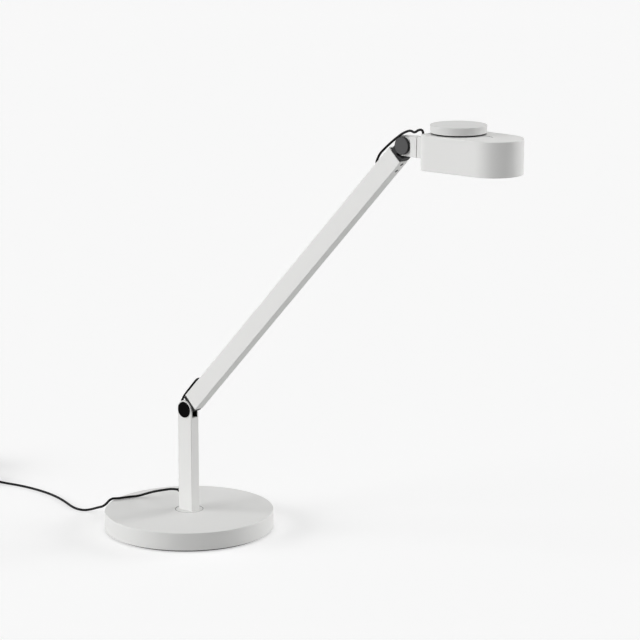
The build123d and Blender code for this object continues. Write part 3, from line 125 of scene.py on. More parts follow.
@dataclass(frozen=True)
class Finish:
    """One surface finish: its colour, gloss and fine relief."""

    name: str
    colour: Colour
    roughness: float
    metallic: float = 0.0
    grain: Grain = Grain.ORANGE_PEEL
    grain_size: float = 0.0009
    relief: float = 0.00001
    tint: float = 0.02
    coat: float = 0.0
    specular: float = 0.5
    edge: float = 0.0
    gloss_spread: float = 0.06

    def material(self) -> bpy.types.Material:
        """Build the node material once and hand out the same one afterwards.

        Returns:
            The finish's material.
        """
        known = bpy.data.materials.get(self.name)
        if known is not None:
            return known
        made = bpy.data.materials.new(self.name)
        made.use_nodes = True
        tree = made.node_tree
        shader = next(n for n in tree.nodes if n.type == "BSDF_PRINCIPLED")
        values = {"Metallic": self.metallic, "Specular IOR Level": self.specular}
        fill(shader, {**values, "Coat Weight": self.coat, "Coat Roughness": COAT_ROUGHNESS})
        place = tree.nodes.new("ShaderNodeTexCoord").outputs["Object"]
        relief = self._relief(tree, place)
        self._colour(tree, place, relief, shader)
        self._gloss(tree, place, shader)
        self._bump(tree, relief, shader)
        return made

    def _relief(self, tree: Tree, place: Socket) -> Socket:
        """Add the fine relief's height.

        Args:
            tree: the material's nodes.
            place: object coordinates in metres.

        Returns:
            A height from 0 to 1.
        """
        stretch = tree.nodes.new("ShaderNodeMapping")
        if self.grain is Grain.BRUSHED:
            fill(stretch, {"Scale": BRUSH_STRETCH})
        tree.links.new(place, stretch.inputs["Vector"])
        if self.grain is Grain.SPARK:
            cells = tree.nodes.new("ShaderNodeTexVoronoi")
            cells.feature = "SMOOTH_F1"
            fill(cells, {"Scale": 1.0 / self.grain_size})
            tree.links.new(stretch.outputs["Vector"], cells.inputs["Vector"])
            return cells.outputs["Distance"]
        detail, rough = CAST_NOISE if self.grain is Grain.CAST else FINE_NOISE
        noise = tree.nodes.new("ShaderNodeTexNoise")
        fill(noise, {"Scale": 1.0 / self.grain_size, "Detail": detail, "Roughness": rough})
        tree.links.new(stretch.outputs["Vector"], noise.inputs["Vector"])
        return noise.outputs["Fac"]

    def _colour(self, tree: Tree, place: Socket, relief: Socket, shader: Node) -> None:
        """Mix the base colour from a slow drift, the relief's hollows and rubbed edges.

        Args:
            tree: the material's nodes.
            place: object coordinates in metres.
            relief: the relief's height.
            shader: the node that takes the colour.
        """
        drift = tree.nodes.new("ShaderNodeTexNoise")
        fill(drift, {"Scale": DRIFT_SCALE, "Detail": DRIFT_DETAIL})
        tree.links.new(place, drift.inputs["Vector"])
        ramp = tree.nodes.new("ShaderNodeValToRGB")
        for stop, position, gain in zip(
            ramp.color_ramp.elements, NOISE_BAND, (1.0 - self.tint, 1.0 + self.tint)
        ):
            stop.position = position
            stop.color = (*(min(c * gain, 1.0) for c in self.colour), 1.0)
        tree.links.new(drift.outputs["Fac"], ramp.inputs["Fac"])
        hollow = tree.nodes.new("ShaderNodeMix")
        hollow.data_type = "RGBA"
        hollow.blend_type = "MULTIPLY"
        fill(hollow, {"Factor": min(self.tint * HOLLOW_SHARE, 1.0)})
        tree.links.new(ramp.outputs["Color"], hollow.inputs["A"])
        tree.links.new(relief, hollow.inputs["B"])
        last = hollow.outputs["Result"]
        if self.edge > 0.0:
            geometry = tree.nodes.new("ShaderNodeNewGeometry")
            worn = tree.nodes.new("ShaderNodeMapRange")
            low, high = WORN_BAND
            fill(worn, {"From Min": low, "From Max": high, "To Max": self.edge})
            tree.links.new(geometry.outputs["Pointiness"], worn.inputs["Value"])
            rub = tree.nodes.new("ShaderNodeMix")
            rub.data_type = "RGBA"
            tree.links.new(worn.outputs["Result"], rub.inputs["Factor"])
            tree.links.new(last, rub.inputs["A"])
            rubbed = (min(c * RUBBED_GAIN + RUBBED_LIFT, 1.0) for c in self.colour)
            fill(rub, {"B": (*rubbed, 1.0)})
            last = rub.outputs["Result"]
        tree.links.new(last, shader.inputs["Base Color"])

    def _gloss(self, tree: Tree, place: Socket, shader: Node) -> None:
        """Let the roughness wander as handling and moulding leave it.

        Args:
            tree: the material's nodes.
            place: object coordinates in metres.
            shader: the node that takes the roughness.
        """
        smudge = tree.nodes.new("ShaderNodeTexNoise")
        fill(smudge, {"Scale": SMUDGE_SCALE, "Detail": SMUDGE_DETAIL})
        tree.links.new(place, smudge.inputs["Vector"])
        spread = tree.nodes.new("ShaderNodeMapRange")
        low, high = NOISE_BAND
        fill(spread, {"From Min": low, "From Max": high})
        smooth = max(self.roughness - self.gloss_spread, LEAST_ROUGHNESS)
        rough = min(self.roughness + self.gloss_spread, 1.0)
        fill(spread, {"To Min": smooth, "To Max": rough})
        tree.links.new(smudge.outputs["Fac"], spread.inputs["Value"])
        tree.links.new(spread.outputs["Result"], shader.inputs["Roughness"])

    def _bump(self, tree: Tree, relief: Socket, shader: Node) -> None:
        """Turn the relief into a bump of its real height.

        Args:
            tree: the material's nodes.
            relief: the relief's height.
            shader: the node that takes the normal.
        """
        bump = tree.nodes.new("ShaderNodeBump")
        fill(bump, {"Strength": BUMP_STRENGTH, "Distance": self.relief})
        tree.links.new(relief, bump.inputs["Height"])
        tree.links.new(bump.outputs["Normal"], shader.inputs["Normal"])


WHITE_PAINT = Finish(
    "white_powder_coat", (0.80, 0.80, 0.788), 0.55, grain_size=0.0011, relief=0.000014,
    tint=0.006, specular=0.3,
)
WHITE_MOULDED = Finish(
    "white_moulded", (0.72, 0.72, 0.71), 0.52, grain=Grain.SPARK, grain_size=0.00035,
    relief=0.000005, tint=0.006, specular=0.3,
)
DARK_MOULDED = Finish(
    "dark_moulded", (0.009, 0.009, 0.0095), 0.5, grain=Grain.SPARK, grain_size=0.00032,
    relief=0.00001, tint=0.05, specular=0.25,
)
CHEEK_MOULDED = Finish(
    "grey_satin_cheek", (0.034, 0.034, 0.035), 0.45, grain=Grain.SPARK, grain_size=0.00028,
    relief=0.000008, tint=0.05,
)
BLACK_MOULDED = Finish(
    "black_moulded", (0.005, 0.005, 0.0055), 0.5, grain=Grain.SPARK, grain_size=0.0004,
    relief=0.000012, tint=0.06, edge=0.08, specular=0.16,
)
# Near-black of the pivot caps and the tongue's rim; the sheet in the post's slot and the ring under
# the dimmer use it as painted shade.
CAP_AND_SHADE_BLACK = Finish(
    "black_matt_cap_and_shade", (0.002, 0.002, 0.002), 0.66, grain=Grain.SPARK, grain_size=0.00045,
    relief=0.00002, tint=0.06, specular=0.02,
)
SHEATH = Finish(
    "black_sheath", (0.004, 0.004, 0.0045), 0.48, grain_size=0.0016, relief=0.00001, tint=0.06,
    specular=0.08,
)
FOAM = Finish(
    "foot_foam", (0.035, 0.035, 0.036), 0.92, grain=Grain.CAST, grain_size=0.0006, relief=0.00005,
    tint=0.15,
)
CAST_IRON = Finish(
    "cast_iron", (0.11, 0.11, 0.112), 0.68, metallic=0.85, grain=Grain.CAST, grain_size=0.0016,
    relief=0.00012, tint=0.15,
)
STEEL = Finish(
    "plated_steel", (0.60, 0.61, 0.62), 0.30, 1.0, grain=Grain.BRUSHED, grain_size=0.0009,
    relief=0.000006, tint=0.04,
)
DARK_STEEL = Finish(
    "blackened_steel", (0.05, 0.05, 0.054), 0.36, metallic=0.9, grain=Grain.BRUSHED,
    grain_size=0.0006, relief=0.000006, tint=0.06, edge=0.35,
)
BRONZE = Finish(
    "sintered_bronze", (0.52, 0.36, 0.17), 0.5, 1.0, grain=Grain.CAST, grain_size=0.0004,
    relief=0.00001, tint=0.06,
)
ALUMINIUM = Finish(
    "bare_aluminium", (0.74, 0.75, 0.76), 0.36, 1.0, grain=Grain.BRUSHED, grain_size=0.0008,
    relief=0.000008, tint=0.03,
)
OPAL = Finish(
    "opal_diffuser", (0.86, 0.86, 0.84), 0.34, grain=Grain.SPARK, grain_size=0.0012,
    relief=0.00002, tint=0.008,
)
LAMINATE = Finish(
    "circuit_laminate", (0.02, 0.10, 0.05), 0.34, grain_size=0.0012, relief=0.00001, tint=0.12,
    coat=0.4,
)
PHOSPHOR = Finish(
    "phosphor_gel", (0.86, 0.70, 0.20), 0.22, grain_size=0.0005, relief=0.000006, tint=0.05,
)
NICKEL = Finish(
    "nickel_plating", (0.72, 0.71, 0.69), 0.18, 1.0, grain=Grain.BRUSHED, grain_size=0.0006,
    relief=0.000004, tint=0.03,
)
# Grey of the painted shade ring in the swivel's seam.
SEAM_SHADE = Finish("grey_seam_shade", (0.22, 0.22, 0.22), 0.6, grain_size=0.0006, relief=0.000004, tint=0.05)
# Dark grey of the thin tapered arc on the head's top.
TOP_ARC_GREY = Finish("grey_top_arc", (0.06, 0.06, 0.06), 0.5, grain_size=0.0003, relief=0.000004, tint=0.05)


class Mesher:
    """Small mesh helpers that the sub-assemblies share."""

    @staticmethod
    def shown(name: str, made: bmesh.types.BMesh, finish: Finish, smooth: float = 35.0) -> Piece:
        """Turn a bmesh into a shaded object.

        Args:
            name: the piece's name.
            made: the mesh, freed here.
            finish: its finish.
            smooth: edges under this angle, in degrees, shade smoothly.

        Returns:
            The object, linked into the scene.
        """
        bmesh.ops.recalc_face_normals(made, faces=made.faces)
        for face in made.faces:
            face.smooth = True
        for edge in made.edges:
            paired = len(edge.link_faces) == 2
            edge.smooth = paired and edge.calc_face_angle(0.0) < math.radians(smooth)
        mesh = bpy.data.meshes.new(name)
        made.to_mesh(mesh)
        made.free()
        mesh.materials.append(finish.material())
        piece = bpy.data.objects.new(name, mesh)
        bpy.context.scene.collection.objects.link(piece)
        return piece

    @staticmethod
    def lathe(
        name: str,
        profile: Sequence[tuple[float, float]],
        finish: Finish,
        place: Matrix | None = None,
        steps: int = 96,
    ) -> Piece:
        """Turn a closed profile of (radius, height) about the local Z axis.

        Args:
            name: the piece's name.
            profile: points round the section, not repeated at the end.
            finish: its finish.
            place: where the local frame stands.
            steps: segments round the axis.

        Returns:
            The turned object.
        """
        made = bmesh.new()
        rings = []
        for step in range(steps):
            turn = math.tau * step / steps
            ring = []
            for radius, height in profile:
                spot = Vector((radius * math.cos(turn), radius * math.sin(turn), height))
                ring.append(made.verts.new(place @ spot if place else spot))
            rings.append(ring)
        count = len(profile)
        for step in range(steps):
            here, after = rings[step], rings[(step + 1) % steps]
            for index in range(count):
                follow = (index + 1) % count
                made.faces.new((here[index], after[index], after[follow], here[follow]))
        bmesh.ops.remove_doubles(made, verts=made.verts, dist=SAME_VERTEX)
        return Mesher.shown(name, made, finish)

    @staticmethod
    def quarter(size: float, steps: int = 5) -> list[tuple[float, float]]:
        """A quarter round from its flat end to its side.

        Args:
            size: its radius.
            steps: its segments.

        Returns:
            The depth below the end and the distance in from the side of each point.
        """
        turns = [math.pi / 2 * step / steps for step in range(steps + 1)]
        return [(size * (1.0 - math.cos(t)), size * (1.0 - math.sin(t))) for t in turns]

    @staticmethod
    def along(
        direction: Sequence[float],
        origin: Sequence[float],
        aside: Sequence[float] = (0.0, 1.0, 0.0),
    ) -> Matrix:
        """A frame whose local Z runs along a direction.

        Args:
            direction: the way of local Z.
            origin: where the frame stands.
            aside: the way that local X is near.

        Returns:
            The frame.
        """
        up = Vector(direction).normalized()
        across = Vector(aside)
        across = (across - up * across.dot(up)).normalized()
        third = up.cross(across)
        turn = Matrix((across, third, up)).transposed().to_4x4()
        turn.translation = Vector(origin)
        return turn

    @staticmethod
    def spline(name: str, points: Iterable[Sequence[float]]) -> bpy.types.Curve:
        """A smooth open spline.

        Args:
            name: the curve's name.
            points: its control points.

        Returns:
            The curve, without a bevel.
        """
        curve = bpy.data.curves.new(name, "CURVE")
        curve.dimensions = "3D"
        curve.resolution_u = SPLINE_STEPS
        line = curve.splines.new("NURBS")
        points = list(points)
        line.points.add(len(points) - 1)
        for knot, point in zip(line.points, points):
            knot.co = (*point, 1.0)
        line.order_u = SPLINE_ORDER
        line.use_endpoint_u = True
        return curve

    @staticmethod
    def line_points(curve: bpy.types.Curve) -> list[Vector]:
        """The points that a bare spline follows.

        Args:
            curve: the curve.

        Returns:
            Its points in order.
        """
        holder = bpy.data.objects.new("route_reader", curve)
        bpy.context.scene.collection.objects.link(holder)
        mesh = bpy.data.meshes.new_from_object(holder)
        found = [vertex.co.copy() for vertex in mesh.vertices]
        bpy.data.meshes.remove(mesh)
        bpy.data.objects.remove(holder)
        return found

    @staticmethod
    def tube(
        name: str,
        path: Sequence[Vector],
        radius: Callable[[Vector], float],
        finish: Finish,
        sides: int = 16,
    ) -> Piece:
        """A round skin along a path, with flat ends.

        Args:
            name: the piece's name.
            path: the points that it follows.
            radius: the radius at a point of the path, in metres.
            finish: its finish.
            sides: corners of each ring.

        Returns:
            The skinned object.
        """
        made = bmesh.new()
        kept = [path[0]]
        for point in path[1:]:
            if (point - kept[-1]).length > SHORTEST_STEP:
                kept.append(point)
        side = Vector((0.0, 0.0, 1.0))
        rings = []
        for index, point in enumerate(kept):
            before, after = kept[max(index - 1, 0)], kept[min(index + 1, len(kept) - 1)]
            way = (after - before).normalized()
            side = side - way * side.dot(way)
            if side.length < LEAST_SIDE:
                side = way.orthogonal()
            side.normalize()
            other = way.cross(side)
            size = radius(point)
            turns = [math.tau * k / sides for k in range(sides)]
            ring = [point + (side * math.cos(t) + other * math.sin(t)) * size for t in turns]
            rings.append([made.verts.new(spot) for spot in ring])
        Mesher.skin(made, rings)
        return Mesher.shown(name, made, finish, smooth=50.0)

    @staticmethod
    def skin(made: bmesh.types.BMesh, rings: Sequence[Sequence[bmesh.types.BMVert]]) -> None:
        """Join rings of vertices and close both ends.

        Args:
            made: the mesh that holds them.
            rings: the rings in order, each with as many vertices.
        """
        count = len(rings[0])
        for here, after in zip(rings, rings[1:]):
            for k in range(count):
                follow = (k + 1) % count
                made.faces.new((here[k], here[follow], after[follow], after[k]))
        made.faces.new(rings[0][::-1])
        made.faces.new(rings[-1])

    @staticmethod
    def rounded_sections(
        name: str,
        sections: Sequence[tuple[float, float, float, float]],
        finish: Finish,
        place: Matrix,
        corner_steps: int = 7,
    ) -> Piece:
        """A closed skin through rounded rectangles that stand square to the local Z axis.

        Args:
            name: the piece's name.
            sections: height, half width, half depth and corner radius of each.
            finish: its finish.
            place: where the local frame stands.
            corner_steps: segments of each corner.

        Returns:
            The skinned object.
        """
        made = bmesh.new()
        rings = []
        for height, half_x, half_y, corner in sections:
            ring = []
            for quarter, (way_x, way_y) in enumerate(((1, 1), (-1, 1), (-1, -1), (1, -1))):
                for step in range(corner_steps + 1):
                    turn = math.pi / 2 * (quarter + step / corner_steps)
                    x = way_x * (half_x - corner) + corner * math.cos(turn)
                    y = way_y * (half_y - corner) + corner * math.sin(turn)
                    ring.append(made.verts.new(place @ Vector((x, y, height))))
            rings.append(ring)
        Mesher.skin(made, rings)
        return Mesher.shown(name, made, finish, smooth=30.0)

    @staticmethod
    def ribbon(
        name: str,
        points: Sequence[tuple[float, float]],
        widths: Sequence[float],
        low: float,
        high: float,
        finish: Finish,
    ) -> Piece:
        """A thin level strip of changing width along points.

        Args:
            name: the piece's name.
            points: its middle line.
            widths: its width at each point.
            low: height of its underside.
            high: height of its top.
            finish: its finish.

        Returns:
            The strip.
        """
        made = bmesh.new()
        rings = []
        for index, (point, width) in enumerate(zip(points, widths)):
            before, after = points[max(index - 1, 0)], points[min(index + 1, len(points) - 1)]
            way = Vector((after[0] - before[0], after[1] - before[1])).normalized()
            aside = Vector((-way.y, way.x)) * width / 2
            middle = Vector(point)
            corners = ((1, low), (1, high), (-1, high), (-1, low))
            rings.append([made.verts.new((*(middle + aside * k), z)) for k, z in corners])
        Mesher.skin(made, rings)
        return Mesher.shown(name, made, finish, smooth=20.0)


@dataclass
class SubAssembly:
    """What every sub-assembly shares: a body to ride on and CAD nodes to dress."""

    body: str = "base"
    finishes: dict[Finish, tuple[str, ...]] = field(default_factory=dict)

    def dress(self) -> None:
        """Give each CAD node of this sub-assembly its finish."""
        for finish, nodes in self.finishes.items():
            for node in nodes:
                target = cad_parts[node]
                target.data.materials.clear()
                target.data.materials.append(finish.material())
                log.info("finish %s on %s", finish.name, node)

    def add(self, piece: Piece, slot: str, *replaced: str) -> Piece:
        """Let a new piece ride on the body and stand for CAD nodes.

        Args:
            piece: the new piece.
            slot: not used.
            replaced: names of the CAD nodes that it stands for.

        Returns:
            The same piece.
        """
        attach(piece, self.body)
        if replaced:
            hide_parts(*replaced)
        log.info("piece %s on %s", piece.name, self.body)
        return piece


@dataclass
class Cord(SubAssembly):
    """The low-voltage cord: free stretch, put-away coil and tail to the adapter."""

    radius: float = 0.0013
    exit: Point = (-0.0155, 0.0, 0.039)
    coil_centre: tuple[float, float] = (-0.310, -0.044)
    mean_radius: float = 0.0156
    turn_pitch: float = 0.0036
    layer_pitch: float = 0.0032
    layers: int = 4
    spiral_turns: float = 3.0
    climb_turns: float = 0.5
    knots_per_turn: int = 20
    adapter_face: float = -0.345
    relief_length: float = 0.011
    tail_steps: tuple[float, float] = (0.0026, 0.012)
    hidden_end: float = 0.040

    @property
    def outer(self) -> float:
        """Radius of the outermost turn's middle."""
        return self.mean_radius + self.spiral_turns * self.turn_pitch / 2

    @property
    def turns(self) -> float:
        """All the coil's turns."""
        return self.layers * (self.spiral_turns + self.climb_turns)

    def free_points(self) -> list[Point]:
        """Control points from the relief over the base's rim to the coil.

        Returns:
            The points in order.
        """
        low = self.radius
        start_y = self.coil_centre[1] + self.outer
        return [
            self.exit, (-0.0255, 0.0, 0.0383), (-0.0368, -0.0020, 0.0350),
            (-0.0496, -0.0026, 0.0312), (-0.0615, -0.0040, 0.0267), (-0.0703, -0.0076, 0.0229),
            (-0.0757, -0.0164, 0.0229), (-0.0798, -0.0287, 0.0229), (-0.0828, -0.0369, 0.0240),
            (-0.0898, -0.0395, 0.0148), (-0.1057, -0.0355, 0.0089), (-0.1190, -0.0321, 0.0036),
            (-0.1278, -0.0348, low), (-0.1380, -0.0368, low), (-0.1505, -0.0336, low),
            (-0.1660, -0.0272, low), (-0.1840, -0.0210, low), (-0.2050, -0.0166, low),
            (-0.2290, -0.0150, low), (-0.2540, -0.0166, low), (-0.2810, start_y, low),
            (self.coil_centre[0] + 2 * low, start_y, low),
        ]

    def coil_point(self, turn: float) -> Point:
        """A point of the coil: layers spiral in and out and climb in half a turn.

        Args:
            turn: how many turns lie before it.

        Returns:
            The point.
        """
        period = self.spiral_turns + self.climb_turns
        layer = min(int(turn / period), self.layers - 1)
        into = turn - layer * period
        top = layer == self.layers - 1
        travel = (into if top else min(into, self.spiral_turns)) * self.turn_pitch
        inner = self.outer - self.spiral_turns * self.turn_pitch
        radius = self.outer - travel if layer % 2 == 0 else inner + travel
        climb = 0.0 if top else min(max(into - self.spiral_turns, 0.0) / self.climb_turns, 1.0)
        height = self.radius + self.layer_pitch * (layer + (1.0 - math.cos(math.pi * climb)) / 2)
        angle = math.pi / 2 + math.tau * turn
        x, y = self.coil_centre
        return (x + radius * math.cos(angle), y + radius * math.sin(angle), height)

    def coil_points(self) -> list[Point]:
        """Control points of the whole coil."""
        steps = int(self.turns * self.knots_per_turn)
        return [self.coil_point(self.turns * step / steps) for step in range(steps + 1)]

    def tail_points(self) -> list[Point]:
        """Control points from the coil through the adapter's sleeve to its terminals.

        Returns:
            The points in order.
        """
        x, y, z = self.coil_point(self.turns)
        mouth, inside = self.adapter_face + self.relief_length, self.adapter_face - self.hidden_end
        stops = [x - step for step in self.tail_steps] + [mouth, inside]
        return [(stop, y, z) for stop in stops]

    def build(self, with_pieces: list[Piece]) -> Piece:
        """Args:
            with_pieces: not used.

        Returns:
            The cord.
        """
        knots = self.free_points() + self.coil_points()[1:] + self.tail_points()
        path = Mesher.line_points(Mesher.spline("cord_route", knots))
        cord = Mesher.tube("cord", path, lambda point: self.radius, SHEATH)
        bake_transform(cord)
        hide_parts("cord_tube", "cord_coil", "cord_tail")
        length = sum((b - a).length for a, b in zip(path, path[1:]))
        log.info("cord length %.3f m", length)
        return cord


@dataclass
class Leads(SubAssembly):
    """The two short leads that bridge the pivots on the outside."""

    radius: float = 0.00118
    lower_hole: float = 0.038
    upper_hole: float = 0.3896
    sleeve_radius: float = 0.0016
    sleeve_top: float = 0.1402
    sleeve_shoulder: float = 0.0008
    lower_steps: int = 24
    split_x: float = 0.3150

    def lower_points(self) -> list[Point]:
        """Control points of the lead over the lower pivot.

        Returns:
            The points from the arm into the post.
        """
        hole = self.lower_hole
        return [
            on_arm(hole, 0.0084), on_arm(hole, 0.0118), on_arm(0.0345, 0.0139),
            on_arm(0.0279, 0.0139), on_arm(0.0197, 0.0137), on_arm(0.0116, 0.0136),
            (-0.0076, 0.0, 0.1419), (-0.0096, 0.0, 0.1345), (-0.0074, 0.0, 0.1275),
            (-0.0060, 0.0, 0.1200),
        ]

    def upper_points(self) -> list[Point]:
        """Control points of the lead over the upper pivot and into the head.

        Returns:
            The points from the arm into the head.
        """
        hole = self.upper_hole
        return [
            on_arm(hole, 0.0084), on_arm(0.3910, 0.0125), on_arm(0.3953, 0.0141),
            (0.2678, -0.0001, 0.4307), (0.2736, -0.0004, 0.4357), (0.2793, -0.0012, 0.4401),
            (0.2867, -0.0026, 0.4452), (0.2942, -0.0048, 0.4496), (0.3021, -0.0076, 0.4539),
            (0.3104, -0.0112, 0.4570), (0.3191, -0.0152, 0.4594), (0.3268, -0.0184, 0.4580),
            (0.3324, -0.0194, 0.4617), (0.3383, -0.0200, 0.4621), (0.3388, -0.0200, 0.4558),
            (0.3391, -0.0200, 0.4532), (0.3405, -0.0200, 0.4532),
        ]

    def lower_radius(self, point: Vector) -> float:
        """Radius of the lower lead, with a thicker sleeve where it goes into the slot."""
        into = min(max((self.sleeve_top - point.z) / self.sleeve_shoulder, 0.0), 1.0)
        return self.radius + (self.sleeve_radius - self.radius) * into

    def build(self) -> None:
        """Skin both leads, the upper one in two parts split near split_x."""
        route = Mesher.spline("lower_route", self.lower_points())
        route.resolution_u = self.lower_steps
        lower = Mesher.tube("lower_lead_skin", Mesher.line_points(route), self.lower_radius, SHEATH)
        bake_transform(lower)
        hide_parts("lower_lead")
        log.info("piece %s between arm and post", lower.name)
        path = Mesher.line_points(Mesher.spline("upper_route", self.upper_points()))
        split = min(range(len(path)), key=lambda i: abs(path[i].x - self.split_x))
        first = Mesher.tube(
            "upper_lead_arm_side", path[: split + 1], lambda point: self.radius, SHEATH
        )
        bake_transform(first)
        second = Mesher.tube(
            "upper_lead_head_side", path[split:], lambda point: self.radius, SHEATH
        )
        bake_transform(second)
        for lead in (first, second):
            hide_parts("upper_lead")
            log.info("piece %s", lead.name)


@dataclass(frozen=True)
class Softbox:
    """One far, broad lamp: where its light comes from, how broad it is and how strong."""

    name: str
    heading: tuple[float, float]
    rise: float
    spread: float
    strength: float

    def hang(self) -> None:
        """Add the lamp to the scene."""
        data = bpy.data.lights.new(self.name, "SUN")
        data.angle = math.radians(self.spread)
        data.energy = self.strength * math.pi
        light = bpy.data.objects.new(self.name, data)
        level = Vector((*self.heading, 0.0)).normalized()
        rise = math.radians(self.rise)
        towards = level * math.cos(rise) + Vector((0.0, 0.0, math.sin(rise)))
        light.rotation_euler = (-towards).to_track_quat("-Z", "Y").to_euler()
        bpy.context.scene.collection.objects.link(light)


@dataclass
class Studio:
    """Pale floor, soft lamps and the camera at the photograph's angle."""

    azimuth: float = 45.460
    distance: float = 2.638556
    height: float = 0.797993
    focal_pixels: float = 2567.205
    picture_pixels: float = 640.0
    sensor: float = 36.0
    far_clip: float = 50.0
    pitch: float = 12.228
    yaw: float = -3.033
    floor_half: float = 9.0
    floor_cells: int = 12
    paper_roughness: float = 0.95
    paper: float = 0.605
    paper_seen: float = 0.62
    paper_glow: float = 0.447
    backdrop: float = 0.939
    lamps: tuple[Softbox, ...] = (
        Softbox("left_softbox", (-0.738, -0.675), 18.0, 25.0, 0.385),
        Softbox("front_left_softbox", (-0.401, -1.044), 18.0, 25.0, 0.355),
        Softbox("right_softbox", (0.738, 0.675), 14.0, 25.0, 0.215),
        Softbox("rim_softbox", (0.401, 1.044), 14.0, 25.0, 0.455),
        Softbox("front_softbox", (0.675, -0.738), 18.0, 25.0, 0.06),
        Softbox("overhead_softbox", (1.0, 0.0), 80.0, 90.0, 0.39),
    )

    def camera(self) -> None:
        """Put the camera where the photograph was taken from."""
        data = bpy.data.cameras.new("photo_camera")
        data.sensor_width = self.sensor
        data.lens = self.focal_pixels / self.picture_pixels * self.sensor
        data.clip_end = self.far_clip
        shot = bpy.data.objects.new("photo_camera", data)
        around = math.radians(self.azimuth)
        x, y = math.sin(around) * self.distance, -math.cos(around) * self.distance
        shot.location = (x, y, self.height)
        tilt, heading = math.radians(90.0 - self.pitch), math.radians(self.azimuth + self.yaw)
        shot.rotation_euler = (tilt, 0.0, heading)
        bpy.context.scene.collection.objects.link(shot)
        bpy.context.scene.camera = shot

    def floor(self) -> None:
        """Lay a broad pale floor."""
        made = bmesh.new()
        cells = self.floor_cells
        bmesh.ops.create_grid(made, x_segments=cells, y_segments=cells, size=self.floor_half)
        mesh = bpy.data.meshes.new("floor")
        made.to_mesh(mesh)
        made.free()
        plate = bpy.data.objects.new("floor", mesh)
        bpy.context.scene.collection.objects.link(plate)
        mesh.materials.append(self._paper())

    @staticmethod
    def _seen(tree: Tree) -> Socket:
        """A factor that is 1 for the eye and for mirrors and glass.

        Args:
            tree: the nodes that it is added to.

        Returns:
            The factor's socket.
        """
        rays = tree.nodes.new("ShaderNodeLightPath")
        last = rays.outputs["Is Camera Ray"]
        for other in ("Is Glossy Ray", "Is Transmission Ray"):
            joined = tree.nodes.new("ShaderNodeMath")
            joined.operation = "MAXIMUM"
            tree.links.new(last, joined.inputs[0])
            tree.links.new(rays.outputs[other], joined.inputs[1])
            last = joined.outputs["Value"]
        return last

    def _paper(self) -> bpy.types.Material:
        """White paper to the eye and in mirrors, greyer for the light that it throws back.

        Returns:
            The floor's material.
        """
        made = bpy.data.materials.new("paper_floor")
        made.use_nodes = True
        tree = made.node_tree
        shader = next(n for n in tree.nodes if n.type == "BSDF_PRINCIPLED")
        fill(shader, {"Roughness": self.paper_roughness, "Specular IOR Level": 0.0})
        mix = tree.nodes.new("ShaderNodeMix")
        mix.data_type = "RGBA"
        fill(mix, {"A": (*(self.paper,) * 3, 1.0), "B": (*(self.paper_seen,) * 3, 1.0)})
        seen = self._seen(tree)
        tree.links.new(seen, mix.inputs["Factor"])
        tree.links.new(mix.outputs["Result"], shader.inputs["Base Color"])
        glow = tree.nodes.new("ShaderNodeMath")
        glow.operation = "MULTIPLY"
        glow.inputs[1].default_value = self.paper_glow
        tree.links.new(seen, glow.inputs[0])
        fill(shader, {"Emission Color": (1.0, 1.0, 1.0, 1.0)})
        tree.links.new(glow.outputs["Value"], shader.inputs["Emission Strength"])
        return made

    def world(self) -> None:
        """A dome that gives no light and looks white to the eye and in mirrors."""
        world = bpy.data.worlds.new("studio_dome")
        bpy.context.scene.world = world
        world.use_nodes = True
        tree = world.node_tree
        tree.nodes.clear()
        out = tree.nodes.new("ShaderNodeOutputWorld")
        dark = tree.nodes.new("ShaderNodeBackground")
        fill(dark, {"Strength": 0.0})
        seen = tree.nodes.new("ShaderNodeBackground")
        fill(seen, {"Color": (*(self.backdrop,) * 3, 1.0), "Strength": 1.0})
        mix = tree.nodes.new("ShaderNodeMixShader")
        tree.links.new(self._seen(tree), mix.inputs["Fac"])
        tree.links.new(dark.outputs["Background"], mix.inputs[1])
        tree.links.new(seen.outputs["Background"], mix.inputs[2])
        tree.links.new(mix.outputs["Shader"], out.inputs["Surface"])

    def build(self) -> None:
        """Set up floor, world, lamps and camera."""
        self.floor()
        self.world()
        for lamp in self.lamps:
            lamp.hang()
        self.camera()
        bpy.context.scene.view_settings.view_transform = "Standard"


@dataclass
class Base(SubAssembly):
    """Weighted round base: painted cover, cast weight, plate and foam foot."""

    body: str = "base"
    top: float = 0.021
    seam_inner: float = 0.01455
    seam_outer: float = 0.0151
    seam_depth: float = 0.0004
    seam_proud: float = 0.00004
    finishes: dict[Finish, tuple[str, ...]] = field(
        default_factory=lambda: {
            WHITE_PAINT: ("base_cover",),
            CAST_IRON: ("base_weight",),
            STEEL: ("base_plate", "base_screws", "swivel_stop_pins"),
            FOAM: ("foot_pad",),
            BLACK_MOULDED: ("swivel_bush",),
        }
    )

    def seam(self) -> Piece:
        """Thin grey ring in the seam round the swivel disc, painted shade of the seam's gap.

        Returns:
            The ring.
        """
        inner, outer = self.seam_inner, self.seam_outer
        low, high = self.top - self.seam_depth, self.top + self.seam_proud
        profile = [(inner, low), (outer, low), (outer, high), (inner, high)]
        return Mesher.lathe("swivel_seam_painted_shade", profile, SEAM_SHADE)

    def build(self) -> None:
        """Dress the base and add the painted shade ring in the swivel's seam."""
        self.dress()
        # The grey ring is painted shade standing in for the shadowed gap round the swivel disc.
        self.add(self.seam(), "dark_plastic")


